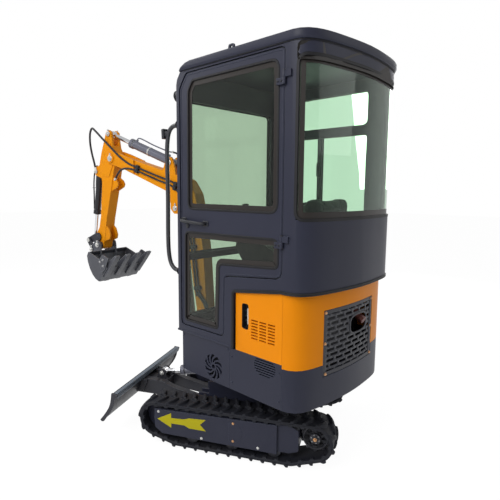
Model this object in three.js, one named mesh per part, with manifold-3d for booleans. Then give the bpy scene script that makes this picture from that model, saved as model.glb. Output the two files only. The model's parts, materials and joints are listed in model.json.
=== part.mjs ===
// Mini excavator on rubber tracks, with a closed cab, a front-swing boom and a blade.
// Millimetres, +Z up. The cab looks along +X, its left is +Y. The undercarriage is turned
// TRACK_TURN degrees and the boom BOOM_SWING degrees to the left of the cab.
import * as THREE from 'three';
import { mergeVertices } from 'three/addons/utils/BufferGeometryUtils.js';
import Module from 'manifold-3d';

// Driving dimensions
const TRACK_TURN = 27.1; // tracks against the cab, degrees
const BOOM_SWING = 12; // boom against the cab, degrees
const HALF_WIDTH = 440; // cab and house, from the middle to the side
const TRACK_OUT = 446; // outer edge of a track from the middle
const TRACK_WIDTH = 180;
const SPROCKET = [-480, 168, 86]; // x, z and radius of the belt's inner face
const IDLER = [478, 164, 88];
const BELT = 20;
const LUG = 16;
const LINKS = 36;
const DECK_Z = 446; // underside of the house
const CAB_Z = 690; // underside of the cab in the footwell
const SEAT_Z = 1046; // underside of the cab over the engine
const ROOF_Z = 2213; // top of the cab walls
const TOP_Z = 2262; // top of the roof
const CAB_FRONT = 223;
const KING_X = 370; // kingpost axis in front of the swing axis
const WALL = 40;
const GAP = 0.3; // between pieces that touch

// Pins of the digging gear in the boom's own plane: forward from the kingpost, height
const BOOM_FOOT = [75, 655];
const BOOM_CYL_BASE = [190, 480];
const BOOM_CYL_ROD = [307, 1415];
const ARM_PIVOT = [943, 1786];
const ARM_CYL_BASE = [358, 1741];
const ARM_CYL_ROD = [983, 1978];
const BUCKET_CYL_BASE = [1140, 1690];
const ROCKER_PIVOT = [1133, 1160];
const ROCKER_END = [1228.5, 1130.3];
const BUCKET_PIVOT = [1108, 1098];
const BUCKET_LINK = [1176.6, 1056.8];

const wasm = await Module();
wasm.setup();

// Solids
function solid(geometry) {
  const g = geometry.clone();
  for (const k of ['normal', 'uv']) g.deleteAttribute(k);
  const m = mergeVertices(g, 1e-4);
  return new wasm.Manifold(new wasm.Mesh({
    numProp: 3, vertProperties: m.attributes.position.array, triVerts: new Uint32Array(m.index.array),
  }));
}
const join = (...s) => s.reduce((a, b) => a.add(b));
const cut = (a, ...s) => s.reduce((x, b) => x.subtract(b), a);
const common = (...s) => s.reduce((a, b) => a.intersect(b));
const box = (x0, x1, y0, y1, z0, z1) => solid(new THREE.BoxGeometry(x1 - x0, y1 - y0, z1 - z0)
  .translate((x0 + x1) / 2, (y0 + y1) / 2, (z0 + z1) / 2));
const shape = (pts, holes = []) => {
  const s = new THREE.Shape(pts.map(([x, y]) => new THREE.Vector2(x, y)));
  for (const h of holes) s.holes.push(new THREE.Path(h.map(([x, y]) => new THREE.Vector2(x, y))));
  return s;
};
const extrude = (pts, depth, holes) => new THREE.ExtrudeGeometry(shape(pts, holes),
  { depth, bevelEnabled: false, steps: 1, curveSegments: 1 });
// A profile in x and z, drawn out from y0 to y1
const sideways = (pts, y0, y1, holes) => solid(extrude(pts, y1 - y0,
  holes).rotateX(Math.PI / 2).translate(0, y1, 0));
// A plan in x and y, drawn up from z0 to z1
const upright = (pts, z0, z1, holes) => solid(extrude(pts, z1 - z0, holes).translate(0, 0, z0));
// A profile in y and z, drawn out from x0 to x1
const forward = (pts, x0, x1, holes) => solid(extrude(pts, x1 - x0, holes)
  .rotateX(Math.PI / 2).rotateZ(Math.PI / 2).translate(x0, 0, 0));
const rod = (a, b, r, n = 10) => {
  const from = new THREE.Vector3(...a);
  const to = new THREE.Vector3(...b);
  const g = new THREE.CylinderGeometry(r, r, from.distanceTo(to), n);
  const turn = new THREE.Quaternion().setFromUnitVectors(new THREE.Vector3(0, 1, 0),
    to.clone().sub(from).normalize());
  return solid(g.applyQuaternion(turn).translate(...from.add(to).multiplyScalar(0.5).toArray()));
};
const across = ([x, z], r, y0, y1, n = 14) => rod([x, y0, z], [x, y1, z], r, n);
// A pin's hole, 0.5 mm clear of the pin all round
const hole = (p, r, w = 90) => across(p, (r + 0.5) / Math.cos(Math.PI / 12), -w, w, 12);
const pin = (p, r, w) => across(p, r, -w, w, 12);
// The two ends of a pin whose middle is left out, so that a rod's eye can stand off it as it swings
const pinEnds = (p, r, y0, y1) => [across(p, r, y0, y1, 12), across(p, r, -y1, -y0, 12)];
const post = (x, y, r, z0, z1, n = 16) => rod([x, y, z0], [x, y, z1], r, n);
// A round bar along a smooth curve
const bar = (pts, r, steps = 12, n = 6) => {
  const path = new THREE.CatmullRomCurve3(pts.map((p) => new THREE.Vector3(...p)), false, 'centripetal');
  const ring = new THREE.Shape(circle([0, 0], r, n).map(([x, y]) => new THREE.Vector2(x, y)));
  return solid(new THREE.ExtrudeGeometry(ring, { steps, extrudePath: path, curveSegments: 1 }));
};
const polar = ([x, y], r, degrees) => {
  const a = degrees * Math.PI / 180;
  return [x + r * Math.cos(a), y + r * Math.sin(a)];
};
function circle([x, y], r, n = 16, from = 0, to = 360) {
  const whole = to - from === 360;
  return Array.from({ length: n }, (_, i) => {
    const a = (from + (to - from) * i / (whole ? n : n - 1)) * Math.PI / 180;
    return [x + r * Math.cos(a), y + r * Math.sin(a)];
  });
}
// Corners of a polygon cut round: each corner is x, y and an optional radius
function rounded(pts, n = 2) {
  return pts.flatMap(([x, y, r], i) => {
    if (!r) return [[x, y]];
    const [ax, ay] = pts[(i + pts.length - 1) % pts.length];
    const [bx, by] = pts[(i + 1) % pts.length];
    const la = Math.hypot(ax - x, ay - y);
    const lb = Math.hypot(bx - x, by - y);
    const u = [(ax - x) / la, (ay - y) / la];
    const v = [(bx - x) / lb, (by - y) / lb];
    const half = Math.acos(Math.max(-1, Math.min(1, u[0] * v[0] + u[1] * v[1]))) / 2;
    const t = r / Math.tan(half);
    return Array.from({ length: n + 1 }, (_, k) => {
      const s = k / n;
      const w = [(1 - s) * (1 - s), 2 * s * (1 - s), s * s];
      return [w[0] * (x + u[0] * t) + w[1] * x + w[2] * (x + v[0] * t),
        w[0] * (y + u[1] * t) + w[1] * y + w[2] * (y + v[1] * t)];
    });
  });
}
// A counterclockwise outline moved inwards by d
function inset(pts, d) {
  return pts.map((p, i) => {
    const a = pts[(i + pts.length - 1) % pts.length];
    const b = pts[(i + 1) % pts.length];
    const n1 = normal(a, p);
    const n2 = normal(p, b);
    const k = d / (1 + n1[0] * n2[0] + n1[1] * n2[1]);
    return [p[0] + (n1[0] + n2[0]) * k, p[1] + (n1[1] + n2[1]) * k];
  });
}
function normal(a, b) {
  const l = Math.hypot(b[0] - a[0], b[1] - a[1]);
  return [-(b[1] - a[1]) / l, (b[0] - a[0]) / l];
}
const mirror = (pts) => pts.map(([x, y, r]) => [x, -y, r]).reverse();
// A length with d mm taken off or put on, seen from a along a to b
const along = (a, b, d) => {
  const l = Math.hypot(b[0] - a[0], b[1] - a[1]);
  return [a[0] + (b[0] - a[0]) * d / l, a[1] + (b[1] - a[1]) * d / l];
};
const at = ([x, z], y = 0) => [x, y, z];

// Scene graph
const root = new THREE.Group();
const makeFrame = (x, degrees) => {
  const g = new THREE.Group();
  g.position.x = x;
  g.rotation.z = degrees * Math.PI / 180;
  root.add(g);
  return g;
};
const under = makeFrame(0, TRACK_TURN);
const house = makeFrame(0, 0);
const front = makeFrame(KING_X, BOOM_SWING);

const LOOKS = {
  body: [0x2b3340, 0.45, 0.3], yellow: [0xf0a41c, 0.4, 0.2], orange: [0xf28c12, 0.4, 0.2],
  dark: [0x2d3138, 0.5, 0.4], rubber: [0x1c1d1f, 0.85, 0], chrome: [0xd8dade, 0.12, 1],
  grey: [0x6b7280, 0.35, 0.5], steel: [0x8a8d92, 0.4, 0.8], black: [0x15161a, 0.6, 0],
  glass: [0x2c4038, 0.08, 0], engine: [0x4a4c50, 0.6, 0.5], cushion: [0x1b1c20, 0.8, 0],
};
function add(frame, name, look, body) {
  const m = body.simplify(0.01).getMesh();
  let g = new THREE.BufferGeometry();
  g.setAttribute('position', new THREE.BufferAttribute(new Float32Array(m.vertProperties), 3));
  g.setIndex(new THREE.BufferAttribute(new Uint32Array(m.triVerts), 1));
  g = g.toNonIndexed();
  g.computeVertexNormals();
  const [color, roughness, metalness] = LOOKS[look];
  const material = new THREE.MeshStandardMaterial({ color, roughness, metalness });
  if (look === 'glass') Object.assign(material, { transparent: true, opacity: 0.5 });
  const mesh = new THREE.Mesh(g, material);
  mesh.name = name;
  frame.add(mesh);
}

// Undercarriage
// The belt's inner face is the convex outline of the sprocket, the idler and the ground run.
function beltLoop(grow) {
  const discs = [SPROCKET, IDLER, [-345, BELT + LUG + 40, 40], [345, BELT + LUG + 40, 40]];
  const pts = discs.flatMap(([x, z, r]) => circle([x, z], r + grow, 32)).sort((a,
    b) => a[0] - b[0] || a[1] - b[1]);
  const half = (list) => {
    const h = [];
    for (const p of list) {
      while (h.length > 1) {
        const [a, b] = h.slice(-2);
        if ((b[0] - a[0]) * (p[1] - a[1]) - (b[1] - a[1]) * (p[0] - a[0]) > 1e-6) break;
        h.pop();
      }
      h.push(p);
    }
    return h.slice(0, -1);
  };
  return [...half(pts), ...half([...pts].reverse())];
}
function resample(loop, spots) {
  const lengths = [0];
  loop.forEach((p, i) => {
    const q = loop[(i + 1) % loop.length];
    lengths.push(lengths[i] + Math.hypot(q[0] - p[0], q[1] - p[1]));
  });
  const total = lengths.at(-1);
  return spots.map((s) => {
    const d = (s - Math.floor(s)) * total;
    const i = Math.min(loop.length - 1, lengths.findIndex((l) => l > d) - 1);
    const [p, q] = [loop[i], loop[(i + 1) % loop.length]];
    const t = (d - lengths[i]) / (lengths[i + 1] - lengths[i]);
    return { x: p[0] + (q[0] - p[0]) * t, z: p[1] + (q[1] - p[1]) * t, n: normal(q, p) };
  });
}
function trackLoop() {
  const loop = beltLoop(0);
  const lug = [[0, BELT], [0.05, BELT + LUG], [0.5, BELT + LUG], [0.55, BELT]];
  const outer = Array.from({ length: LINKS }, (_, i) => i).flatMap((i) => {
    const spots = resample(loop, lug.map(([s]) => (i + s) / LINKS));
    return lug.map(([, h], k) => [spots[k].x + spots[k].n[0] * h, Math.max(0,
      spots[k].z + spots[k].n[1] * h)]);
  });
  return [outer, [...loop].reverse()];
}
const [trackOuter, trackInner] = trackLoop();
for (const [side, s] of [['left', 1], ['right', -1]]) {
  const span = (a, b) => (s > 0 ? [a, b] : [-b, -a]);
  const inner = TRACK_OUT - TRACK_WIDTH;
  add(under, `track_${side}`, 'rubber', sideways(trackOuter, ...span(inner, TRACK_OUT), [trackInner]));
  const beam = sideways(rounded([[-392, 96, 10], [-340, 78, 10], [372, 78, 10], [392, 110, 10], [392,
    214, 10],
    [350, 236, 10], [-350, 240, 10], [-392, 214, 10]]), ...span(286, 420));
  const cover = sideways(rounded([[-272, 68], [440, 76, 20], [488, 112, 16], [490, 228], [-272, 241]]),
    ...span(419, 434));
  const fork = sideways(rounded([[370, 130], [500, 138, 20], [500, 190, 20], [370, 200]]), ...span(292,
    306))
    .add(sideways(rounded([[370, 130], [500, 138, 20], [500, 190, 20], [370, 200]]), ...span(406, 420)));
  const flange = sideways([...circle(SPROCKET.slice(0, 2), 46, 12, 80, 280), [-380, 110], [-380, 225]],
    ...span(288, 302));
  const rollers = [-250, 0, 250].map((x) => across([x, BELT + LUG + 42 + GAP], 42, ...span(296, 416), 10));
  const slide = box(-60, 60, ...span(330, 382), 230, 251);
  const idler = join(across(IDLER, 86, ...span(336, 376), 24), across(IDLER, 26, ...span(300, 412)));
  add(under, `track_frame_${side}`, 'body', join(beam, cover, fork, flange, ...rollers, slide, idler));
  const teeth = Array.from({ length: 10 }, (_, i) => i * 36 + 18).map((a) => {
    const t = a * Math.PI / 180;
    const p = (r, w) => [SPROCKET[0] + r * Math.cos(t) - w * Math.sin(t),
      SPROCKET[1] + r * Math.sin(t) + w * Math.cos(t)];
    return sideways([p(50, -13), p(82, -7), p(82, 7), p(50, 13)], ...span(343, 369));
  });
  const windows = Array.from({ length: 8 }, (_, i) => sideways(rounded([...circle(SPROCKET, 60, 3,
    i * 45 - 15, i * 45 + 15),
    ...circle(SPROCKET, 36, 2, i * 45 - 12, i * 45 + 12).reverse()]), ...span(340, 372)));
  const wheel = cut(across(SPROCKET, 74, ...span(343, 369), 30), ...windows);
  add(under, `sprocket_${side}`, 'dark', join(wheel, ...teeth, across(SPROCKET, 31, ...span(302 + GAP,
    345), 20),
    across(SPROCKET, 30, ...span(367, 386), 20), across(SPROCKET, 18, ...span(384, 394), 6)));
}
const carBody = join(
  box(-230, -110, -286 + GAP, 286 - GAP, 110, 230), box(110, 230, -286 + GAP, 286 - GAP, 110, 230),
  box(-230, 230, -190, 190, 190, 330), post(0, 0, 228, 320, 398, 28),
  box(225, 330, -122, -106, 105, 215), box(225, 330, -62, -46, 105, 215),
  box(225, 330, 106, 122, 105, 215), box(225, 330, 46, 62, 105, 215),
  ...[-1, 1].map((s) => sideways([[225, 290], [262, 296], [290, 316], [298, 336], [290, 360], [225, 370]],
    ...(s > 0 ? [26, 42] : [-42, -26]))), box(225, 236, -122, 122, 190, 330),
  box(225, 236, -42, 42, 320, 370));
const BLADE_PIN = [300, 140];
const BLADE_CYL_BASE = [272, 336];
const BLADE_CYL_ROD = [640, 276];
add(under, 'car_body', 'body', cut(carBody, hole(BLADE_PIN, 16, 130)).add(pin(BLADE_CYL_BASE, 12, 46)));
add(under, 'swing_bearing', 'steel', cut(post(0, 0, 232, 398 + GAP, DECK_Z - GAP, 28), post(0, 0, 170,
  390, 450, 24)));

// Blade: a curved plate with narrow end plates and a bar along its top, on two box arms
const face = [[858, 104], [834, 133], [812, 163], [793, 194], [782, 225], [776, 256], [773, 287]];
const back = face.map(([x, z]) => [x - 13, z - 3]).reverse();
const endPlate = [...face.map(([x, z]) => [x + 4, z + 2]), [737, 285], [741, 264], [756, 248], [763, 215],
  [777, 184], [797, 151], [820, 123], [838, 98], [852, 96]];
const bladePlate = join(sideways([...face, ...back], -448, 448), box(744, 764, -448, 448, 262, 285),
  sideways(endPlate, 442, 454), sideways(endPlate, -454, -442));
const bladeArms = [-84, 84].map((y) => join(
  sideways(rounded([[300, 112, 12], [540, 136], [620, 148, 20], [806, 148], [778, 192], [764, 248],
    [612, 246, 24], [520, 212, 20], [300, 168, 12]]), y - 21, y + 21),
  across(BLADE_PIN, 30, y - 21, y + 21), across(BLADE_PIN, 16, y - 37, y + 37, 12)));
const bladeLug = [-1, 1].map((s) => sideways(
  rounded([[600, 220], [690, 220], [656, 302, 12], [626, 302, 12]]),
  ...(s > 0 ? [25, 39] : [-39, -25])));
add(under, 'blade', 'dark', join(bladePlate, ...bladeArms, box(596, 764, -105, 105, 160, 232), ...bladeLug,
  ...pinEnds(BLADE_CYL_ROD, 26, 25, 39), ...pinEnds(BLADE_CYL_ROD, 12, 36, 44)));

// A hydraulic cylinder: a hollow barrel with a base eye, and a rod with an eye that slides in it.
// The rod's inner end leaves room for the rod to go in by retract.
function cylinder(frame, name, base, end, { barrel, r, rodR, eyeHalf, pinR, retract, rodPin = 0 }) {
  const l = Math.hypot(end[0] - base[0], end[1] - base[1]);
  const up = [-(end[1] - base[1]) / l, (end[0] - base[0]) / l];
  const p = (d) => at(along(base, end, d));
  const ports = [r + 23, barrel - 47.5].map((d) => {
    const [x, z] = along(base, end, d);
    return rod([x, 0, z], [x + up[0] * (r + 12), 0, z + up[1] * (r + 12)], 9, 6);
  });
  const start = r * 0.86 + 8;
  const outside = join(across(base, r * 0.86, -eyeHalf, eyeHalf), rod(p(0), p(start + 4), eyeHalf - 1, 12),
    rod(p(start), p(barrel - 4), r, 16), rod(p(barrel - 26), p(barrel), r + 5, 16), ...ports);
  add(frame, name, 'grey', cut(outside, rod(p(start + 14), p(barrel + 5), rodR + 0.6), hole(base, pinR)));
  const shaft = join(rod(p(start + retract + 22), p(l), rodR), across(end, r * 0.8, -eyeHalf, eyeHalf));
  add(frame, `${name}_rod`, 'chrome', rodPin ? shaft.add(pin(end, pinR, rodPin)) : shaft);
}
const lugs = (pts, y0, y1) => [sideways(pts, y0, y1), sideways(pts, -y1, -y0)];
cylinder(under, 'blade_cylinder', BLADE_CYL_BASE, BLADE_CYL_ROD,
  { barrel: 236, r: 30, rodR: 15, eyeHalf: 22, pinR: 12, retract: 60 });

// House: a deck with the kingpost lugs, and panels round it
const soften = (pts) => new THREE.CatmullRomCurve3(pts.map(([x, y]) => new THREE.Vector3(x, y, 0)),
  false, 'centripetal')
  .getSpacedPoints(14).map((p) => [p.x, p.y]);
const bodyRear = soften([[-600, 430], [-648, 418], [-680, 388], [-702, 335], [-716, 260], [-726, 170],
  [-733, 80],
  [-735, 0]]);
const bodyPlan = [[184, -430], [184, 430], ...bodyRear, ...mirror(bodyRear).slice(1)];
const cabRear = soften([[-640, HALF_WIDTH], [-684, 428], [-714, 398], [-736, 350], [-752, 280], [-764, 190],
  [-774, 90], [-778, 0]]);
const cabTail = [...cabRear, ...mirror(cabRear).slice(1)];
const cabSquare = [[CAB_FRONT, -HALF_WIDTH], [CAB_FRONT, HALF_WIDTH], ...cabTail];
const cabPlan = [...rounded([[0, -HALF_WIDTH], [CAB_FRONT, -HALF_WIDTH, 24], [CAB_FRONT, HALF_WIDTH, 24],
  [0, HALF_WIDTH]], 3)
  .slice(1, -1), ...cabTail];
const slope = (x) => SEAT_Z + 2 - Math.max(0, x + 595) * 0.136; // underside of the cab over the engine
const shell = (thick, z0, z1) => upright(bodyPlan, z0, z1, [inset(bodyPlan, thick).reverse()]);
const lugPlan = [[120, -56], [KING_X, -56], ...circle([KING_X, 0], 56, 9, -75, 75), [KING_X, 56], [120,
  56]];
const swingBase = [-60, -230];
const swingTurn = (BOOM_SWING * Math.PI) / 180;
const swingEnd = [KING_X + 20 * Math.cos(swingTurn) + 115 * Math.sin(swingTurn),
  20 * Math.sin(swingTurn) - 115 * Math.cos(swingTurn)];
const swingZ = 540;
const deck = join(
  upright(inset(bodyPlan, 15), DECK_Z, 474), box(60, 215, -56, 56, 470, 594),
  upright(lugPlan, 450, 478), upright(lugPlan, 566, 594),
  ...[-1, 1].flatMap((s) => [box(120, 160, s * 380 - 20, s * 380 + 20, 470, CAB_Z - 2 - GAP),
    sideways([[-540, 470], [-500, 470], [-500, slope(-500) - GAP], [-540, slope(-540) - GAP]],
      s * 380 - 20, s * 380 + 20)]),
  box(-100, -20, -270, -190, 470, 508), post(...swingBase, 11, 500, 566, 12));
add(house, 'house_deck', 'dark', cut(deck, post(KING_X, 0, 24.8, 430, 620, 24)));
const panelBox = (x0, x1, y0, y1, z0, z1, thick = 14) => common(shell(thick, DECK_Z, 1060), box(x0, x1,
  y0, y1, z0, z1));
for (const [side, s] of [['left', 1], ['right', -1]]) {
  const y = s > 0 ? [380, 450] : [-450, -380];
  const flank = s > 0 ? [416 + GAP, 450] : [-450, -416 - GAP];
  const w = s > 0 ? [410, 450] : [-450, -410];
  const fan = Array.from({ length: 10 }, (_, i) => {
    const edge = (turn) => [24, 40, 56, 73].map((r) => polar([-95, 535], r,
      i * 36 + turn + (r - 24) * 0.9));
    return sideways([...edge(0), ...edge(21).reverse()], ...w);
  });
  add(house, `panel_${side}_front`, 'body', cut(panelBox(-228, 190, ...flank, DECK_Z, CAB_Z - 3), ...fan,
    across([-95, 535], 13, ...w, 16)));
  const round = [36, 60, 70, 73, 73, 70, 60, 36].map((half, i) => box(-487.5 - half, -487.5 + half, ...w,
    592 + i * 13, 599 + i * 13));
  add(house, `skirt_${side}`, 'body', cut(panelBox(-599, -229, ...y, DECK_Z, CAB_Z - 7), ...round));
  const vents = [0, 1, 2].flatMap((c) => [0, 1, 2, 3, 4, 5, 6].map((r) => box(-552 + c * 58,
    -506 + c * 58, ...w, 772 + r * 16, 780 + r * 16)));
  const slot = sideways(rounded([[-370, 811, 14], [-322, 816, 14], [-322, 953, 14], [-370, 953, 14]]),
    ...w);
  const sloped = sideways([[-599, CAB_Z - 6], [-276, CAB_Z - 6], [-276, slope(-276) - 1], [-599,
    slope(-599) - 1]], ...y);
  add(house, `panel_${side}_rear`, 'yellow', cut(common(shell(14, 660, 1060), sloped), ...vents, slot));
}
const frontOpening = box(150, 200, -216, 60, DECK_Z - 1, 602);
add(house, 'panel_front', 'body', cut(panelBox(170, 190, -415, 415, DECK_Z, CAB_Z - 3), frontOpening));
const grilleHole = box(-800, -600, -245, 245, 600, 950);
add(house, 'counterweight', 'body', cut(panelBox(-800, -600, -450, 450, 474 + GAP, 664, 70)
  .add(panelBox(-800, -600, -450, 450, DECK_Z, 500, 14)), grilleHole));
add(house, 'rear_hood', 'yellow', cut(panelBox(-800, -600, -450, 450, 665, slope(-600) - 1), grilleHole));
const grille = cut(upright(inset(bodyPlan, 4), 600, 950), upright(inset(bodyPlan, 10), 590, 960));
add(house, 'rear_grille', 'dark', cut(common(grille, box(-800, -650, -244.5, 244.5, 600.5, 949.5)),
  rod([-800, -120, 830], [-650, -120, 830], 46, 24)));
add(house, 'engine_block', 'engine', join(box(-620, -330, -180, 180, 510, 880), box(-600, -560, -150,
  150, 474 + GAP, 520),
  box(-390, -350, -150, 150, 474 + GAP, 520)));
add(house, 'muffler', 'steel', join(rod([-560, -200, 950], [-560, 150, 950], 62, 20), box(-580, -540,
  -60, 20, 880 + GAP, 930),
  bar([[-575, -120, 950], [-640, -120, 946], [-684, -120, 905], [-700, -120, 850], [-738, -120, 830]],
    22, 10)));

// Cab: one hollow frame with its openings, a roof, a door and the glass
const cabSide = [[-900, slope(-595)], [-595, slope(-595)], [-272, slope(-272)], [-260, CAB_Z - 2],
  [CAB_FRONT + 1, CAB_Z - 2],
  [CAB_FRONT + 1, 2085], [218, 2130], [203, 2172], [172, ROOF_Z], [150, 2233], [112, 2250], [60, TOP_Z],
    [-900, TOP_Z]];
const cabInner = [[-900, 1074], [-595, 1074], [-246, 1028], [-234, 712], [300, 712], [300, 1000], [183,
  1010],
  [183, 2070], [176, 2110], [160, 2155], [136, ROOF_Z - 14], [120, 2240], [-900, 2240]];
const outerCab = common(upright(cabPlan, 600, ROOF_Z), sideways(cabSide, -450, 450));
const innerCab = common(upright(inset(cabSquare, WALL), 600, 2300), sideways(cabInner.map(([x,
  z]) => [Math.min(x, 183.5), z]), -420, 420));
const doorEdge = rounded([[178, 738, 26], [178, 2120, 50], [118, 2196, 30], [-594, 2196, 24], [-594,
  1122, 40], [-194, 1084, 30], [-188, 742, 26]]);
const openingEdge = inset(doorEdge, -6);
const doorOpening = sideways(openingEdge, 380, 460);
const doorUpper = rounded([[112, 1438, 40], [108, 2100, 60], [70, 2152, 30], [-556, 2152, 50], [-560,
  1438, 50]]);
const doorLower = rounded([[146, 768, 20], [140, 1300, 30], [-566, 1308, 40], [-568, 1168, 30], [-150,
  1142, 30], [-138, 772, 20]]);
const rightUpper = rounded([[110, 1940, 30], [100, 2110, 40], [60, 2150, 20], [-560, 2150, 40], [-560,
  1940, 40]]);
const rightLower = rounded([[120, 1330, 50], [120, 1895, 30], [-560, 1895, 30], [-560, 1330, 50]]);
const shieldUpper = rounded([[-385, 1160, 30], [385, 1160, 30], [385, 2066, 40], [-385, 2066, 40]]);
const shieldLower = rounded([[-385, 770, 30], [385, 770, 30], [385, 1120, 30], [-385, 1120, 30]]);
const hinges = [1300, 2060];
const hingeAt = [-600, 449];
add(house, 'cab_frame', 'body', join(cut(outerCab, innerCab, doorOpening, sideways(rightUpper, -460, -380),
  sideways(rightLower, -460, -380), forward(shieldUpper, 170, 240), forward(shieldLower, 170, 240),
  box(-900, -668, -460, 460, 1410, 2150)),
...hinges.map((z) => box(-640, -606, 438, 452, z, z + 30)), ...hinges.map((z) => post(...hingeAt, 8.6, z,
  z + 30, 14))));
const thin = (pts) => inset(pts, GAP);
const roofPlan = inset(cabPlan, -6);
const roofShape = new THREE.ExtrudeGeometry(shape(inset(roofPlan, 10)),
  { depth: TOP_Z - ROOF_Z - 2 * 12 - GAP, bevelEnabled: true, bevelThickness: 12, bevelSize: 16,
    bevelSegments: 2, curveSegments: 1 });
const eyes = [-1, 1].map((s) => cut(sideways(rounded([[-236, TOP_Z - 8], [-182, TOP_Z - 8], [-190,
  TOP_Z + 34, 10],
  [-228, TOP_Z + 34, 10]]), s * 401 - 5, s * 401 + 5), across([-209, TOP_Z + 19], 8, s * 401 - 20,
    s * 401 + 20, 12)));
add(house, 'roof', 'body', join(...eyes, common(solid(roofShape.translate(0, 0, ROOF_Z + GAP + 12)),
  sideways([[-900, ROOF_Z], [178, ROOF_Z], [150, 2235], [112, 2251], [60, TOP_Z + 1], [-900, TOP_Z + 1]],
    -460, 460))));
const rearGlass = cut(upright(inset(cabPlan, 9), 1410 + GAP, 2150 - GAP), upright(inset(cabPlan, 15),
  1400, 2160));
add(house, 'rear_glass', 'glass', common(rearGlass, box(-900, -668 - GAP, -460, 460, 1400, 2160)));
add(house, 'right_glass_upper', 'glass', sideways(thin(rightUpper), -428, -422));
add(house, 'right_glass_lower', 'glass', sideways(thin(rightLower), -428, -422));
add(house, 'windshield_upper', 'glass', forward(thin(shieldUpper), 205, 211));
add(house, 'windshield_lower', 'glass', forward(thin(shieldLower), 205, 211));
const doorLeaf = cut(sideways(doorEdge, 402, 436), sideways(doorUpper, 390, 450), sideways(doorLower,
  390, 450));
add(house, 'door_frame', 'body', join(doorLeaf, ...hinges.map((z) => box(-598, -556, 434, 452, z - 31,
  z - 1)),
  ...hinges.map((z) => post(...hingeAt, 8.6, z - 31, z - 1, 14))));
add(house, 'door_glass_upper', 'glass', sideways(thin(doorUpper), 424, 430));
add(house, 'door_glass_lower', 'glass', sideways(thin(doorLower), 424, 430));
add(house, 'door_handle', 'black', join(bar([[150, 437, 1370], [150, 462, 1370], [60, 466, 1364], [-40,
  462, 1358], [-40, 437, 1358]], 8, 14)));
add(house, 'grab_rail', 'black', bar([[CAB_FRONT + 0.5, 412, 1926], [252, 412, 1926], [282, 415, 1920],
  [306, 420, 1896], [324, 422, 1830], [326, 422, 1500],
  [324, 422, 1160], [304, 420, 1090], [278, 415, 1062], [250, 412, 1054], [CAB_FRONT + 0.5, 412, 1054]],
    13, 28));
add(house, 'work_lamp', 'black', join(box(CAB_FRONT + GAP, 236, 372, 392, 2088, 2110), rod([232, 382,
  2100], [262, 382, 2096], 34, 20)));

// Inside the cab
const seatDeck = 1074 + GAP;
add(house, 'seat_cushion', 'cushion', sideways(rounded([[-560, 1104 + GAP], [-170, 1104 + GAP, 20],
  [-158, 1180, 36], [-540, 1176, 20]]), -205, 205));
add(house, 'seat_back', 'cushion', sideways(rounded([[-556, 1176 + GAP + 6], [-462, 1184, 20], [-520,
  1520, 34], [-600, 1520, 34]]), -200, 200));
const consoles = [-1, 1].map((s) => join(sideways(rounded([[-560, seatDeck], [-300, seatDeck], [-180,
  1230, 20], [-190, 1290, 20],
  [-300, 1296, 20], [-540, 1200, 20]]), s * 290 - 45, s * 290 + 45),
bar([[-230, s * 290, 1280], [-226, s * 290, 1350], [-216, s * 290, 1420]], 9, 6), rod([-218, s * 290,
  1410], [-210, s * 290, 1470], 19, 12)));
add(house, 'seat_consoles', 'black', join(box(-560, -290, -250, 250, seatDeck, 1104), ...consoles));
add(house, 'travel_levers', 'black', join(box(60, 130, -130, 130, 712 + GAP, 734), ...[-60,
  60].flatMap((y) => [
  bar([[95, y, 725], [100, y, 900], [60, y, 1040]], 9, 6), rod([62, y, 1030], [44, y, 1090], 16, 12)])));
add(house, 'dash', 'black', join(box(120, 182, -380, -290, 712 + GAP, 1080), box(80, 160, -382, -270,
  1070, 1190)));

// Kingpost, swung by its own cylinder
const cheek = rounded([[66, 484], [72, 452, 12], [180, 440], [214, 446, 16], [234, 480, 20], [214, 518,
  16], [150, 580, 20], [124, 668, 20],
  [98, 704, 16], [52, 704, 16], [24, 664, 16], [30, 604], [66, 600]]);
add(front, 'kingpost', 'orange', join(post(0, 0, 50, 481, 563, 20), post(0, 0, 24, 436, 608, 14), post(0,
  0, 36, 594 + GAP, 606, 14),
  post(0, 0, 36, 438, 450 - GAP, 14), box(0, 104, -66, 66, 486, 558), ...lugs(cheek, 53, 68), box(66,
    104, -66, 66, 486, 596),
  upright(rounded([[0, -30], [0, -60], [2, -140, 18], [44, -140, 18], [60, -60]]), 498, 520),
  pin(BOOM_FOOT, 20, 74), pin(BOOM_CYL_BASE, 14, 74)));
const flat = new THREE.Group();
flat.rotation.x = -Math.PI / 2;
flat.position.z = swingZ + 3;
root.add(flat);
cylinder(flat, 'swing_cylinder', swingBase, swingEnd,
  { barrel: 300, r: 29, rodR: 15, eyeHalf: 18, pinR: 11, retract: 125, rodPin: 21 });

// Boom: a bent box with a fork at its nose
const boomOutline = rounded([[123, 655], [116, 700], [150, 900], [174, 1070], [198, 1250], [222, 1352,
  10], [258, 1376, 10], [318, 1376, 16],
  [350, 1410, 16], [350, 1450, 16], [372, 1532, 20], [763, 1681], [850, 1716], [840, 1800], [795, 1790],
    [401, 1682], [291, 1652, 30], [190, 1612, 60],
  [128, 1520, 60], [88, 1350, 60], [56, 1100], [32, 760], [27, 655]]);
const nose = rounded([[700, 1668], [850, 1716], [930, 1738, 20], [982, 1756, 20], [996, 1792, 20], [980,
  1832, 20], [930, 1846, 20],
  [850, 1822, 30], [700, 1768]]);
const boom = join(
  sideways(boomOutline, -50, 50), across(BOOM_FOOT, 48, -50, 50, 18), ...lugs(nose, 49.5, 64), ...[-1,
    1].map((s) => across(ARM_PIVOT, 34, s > 0 ? 60 : -70, s > 0 ? 70 : -60)),
  ...lugs(rounded([[300, 1640], [424, 1684], [396, 1752, 16], [364, 1784, 16], [334, 1770, 16], [308,
    1700]]), 34, 49));
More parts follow.
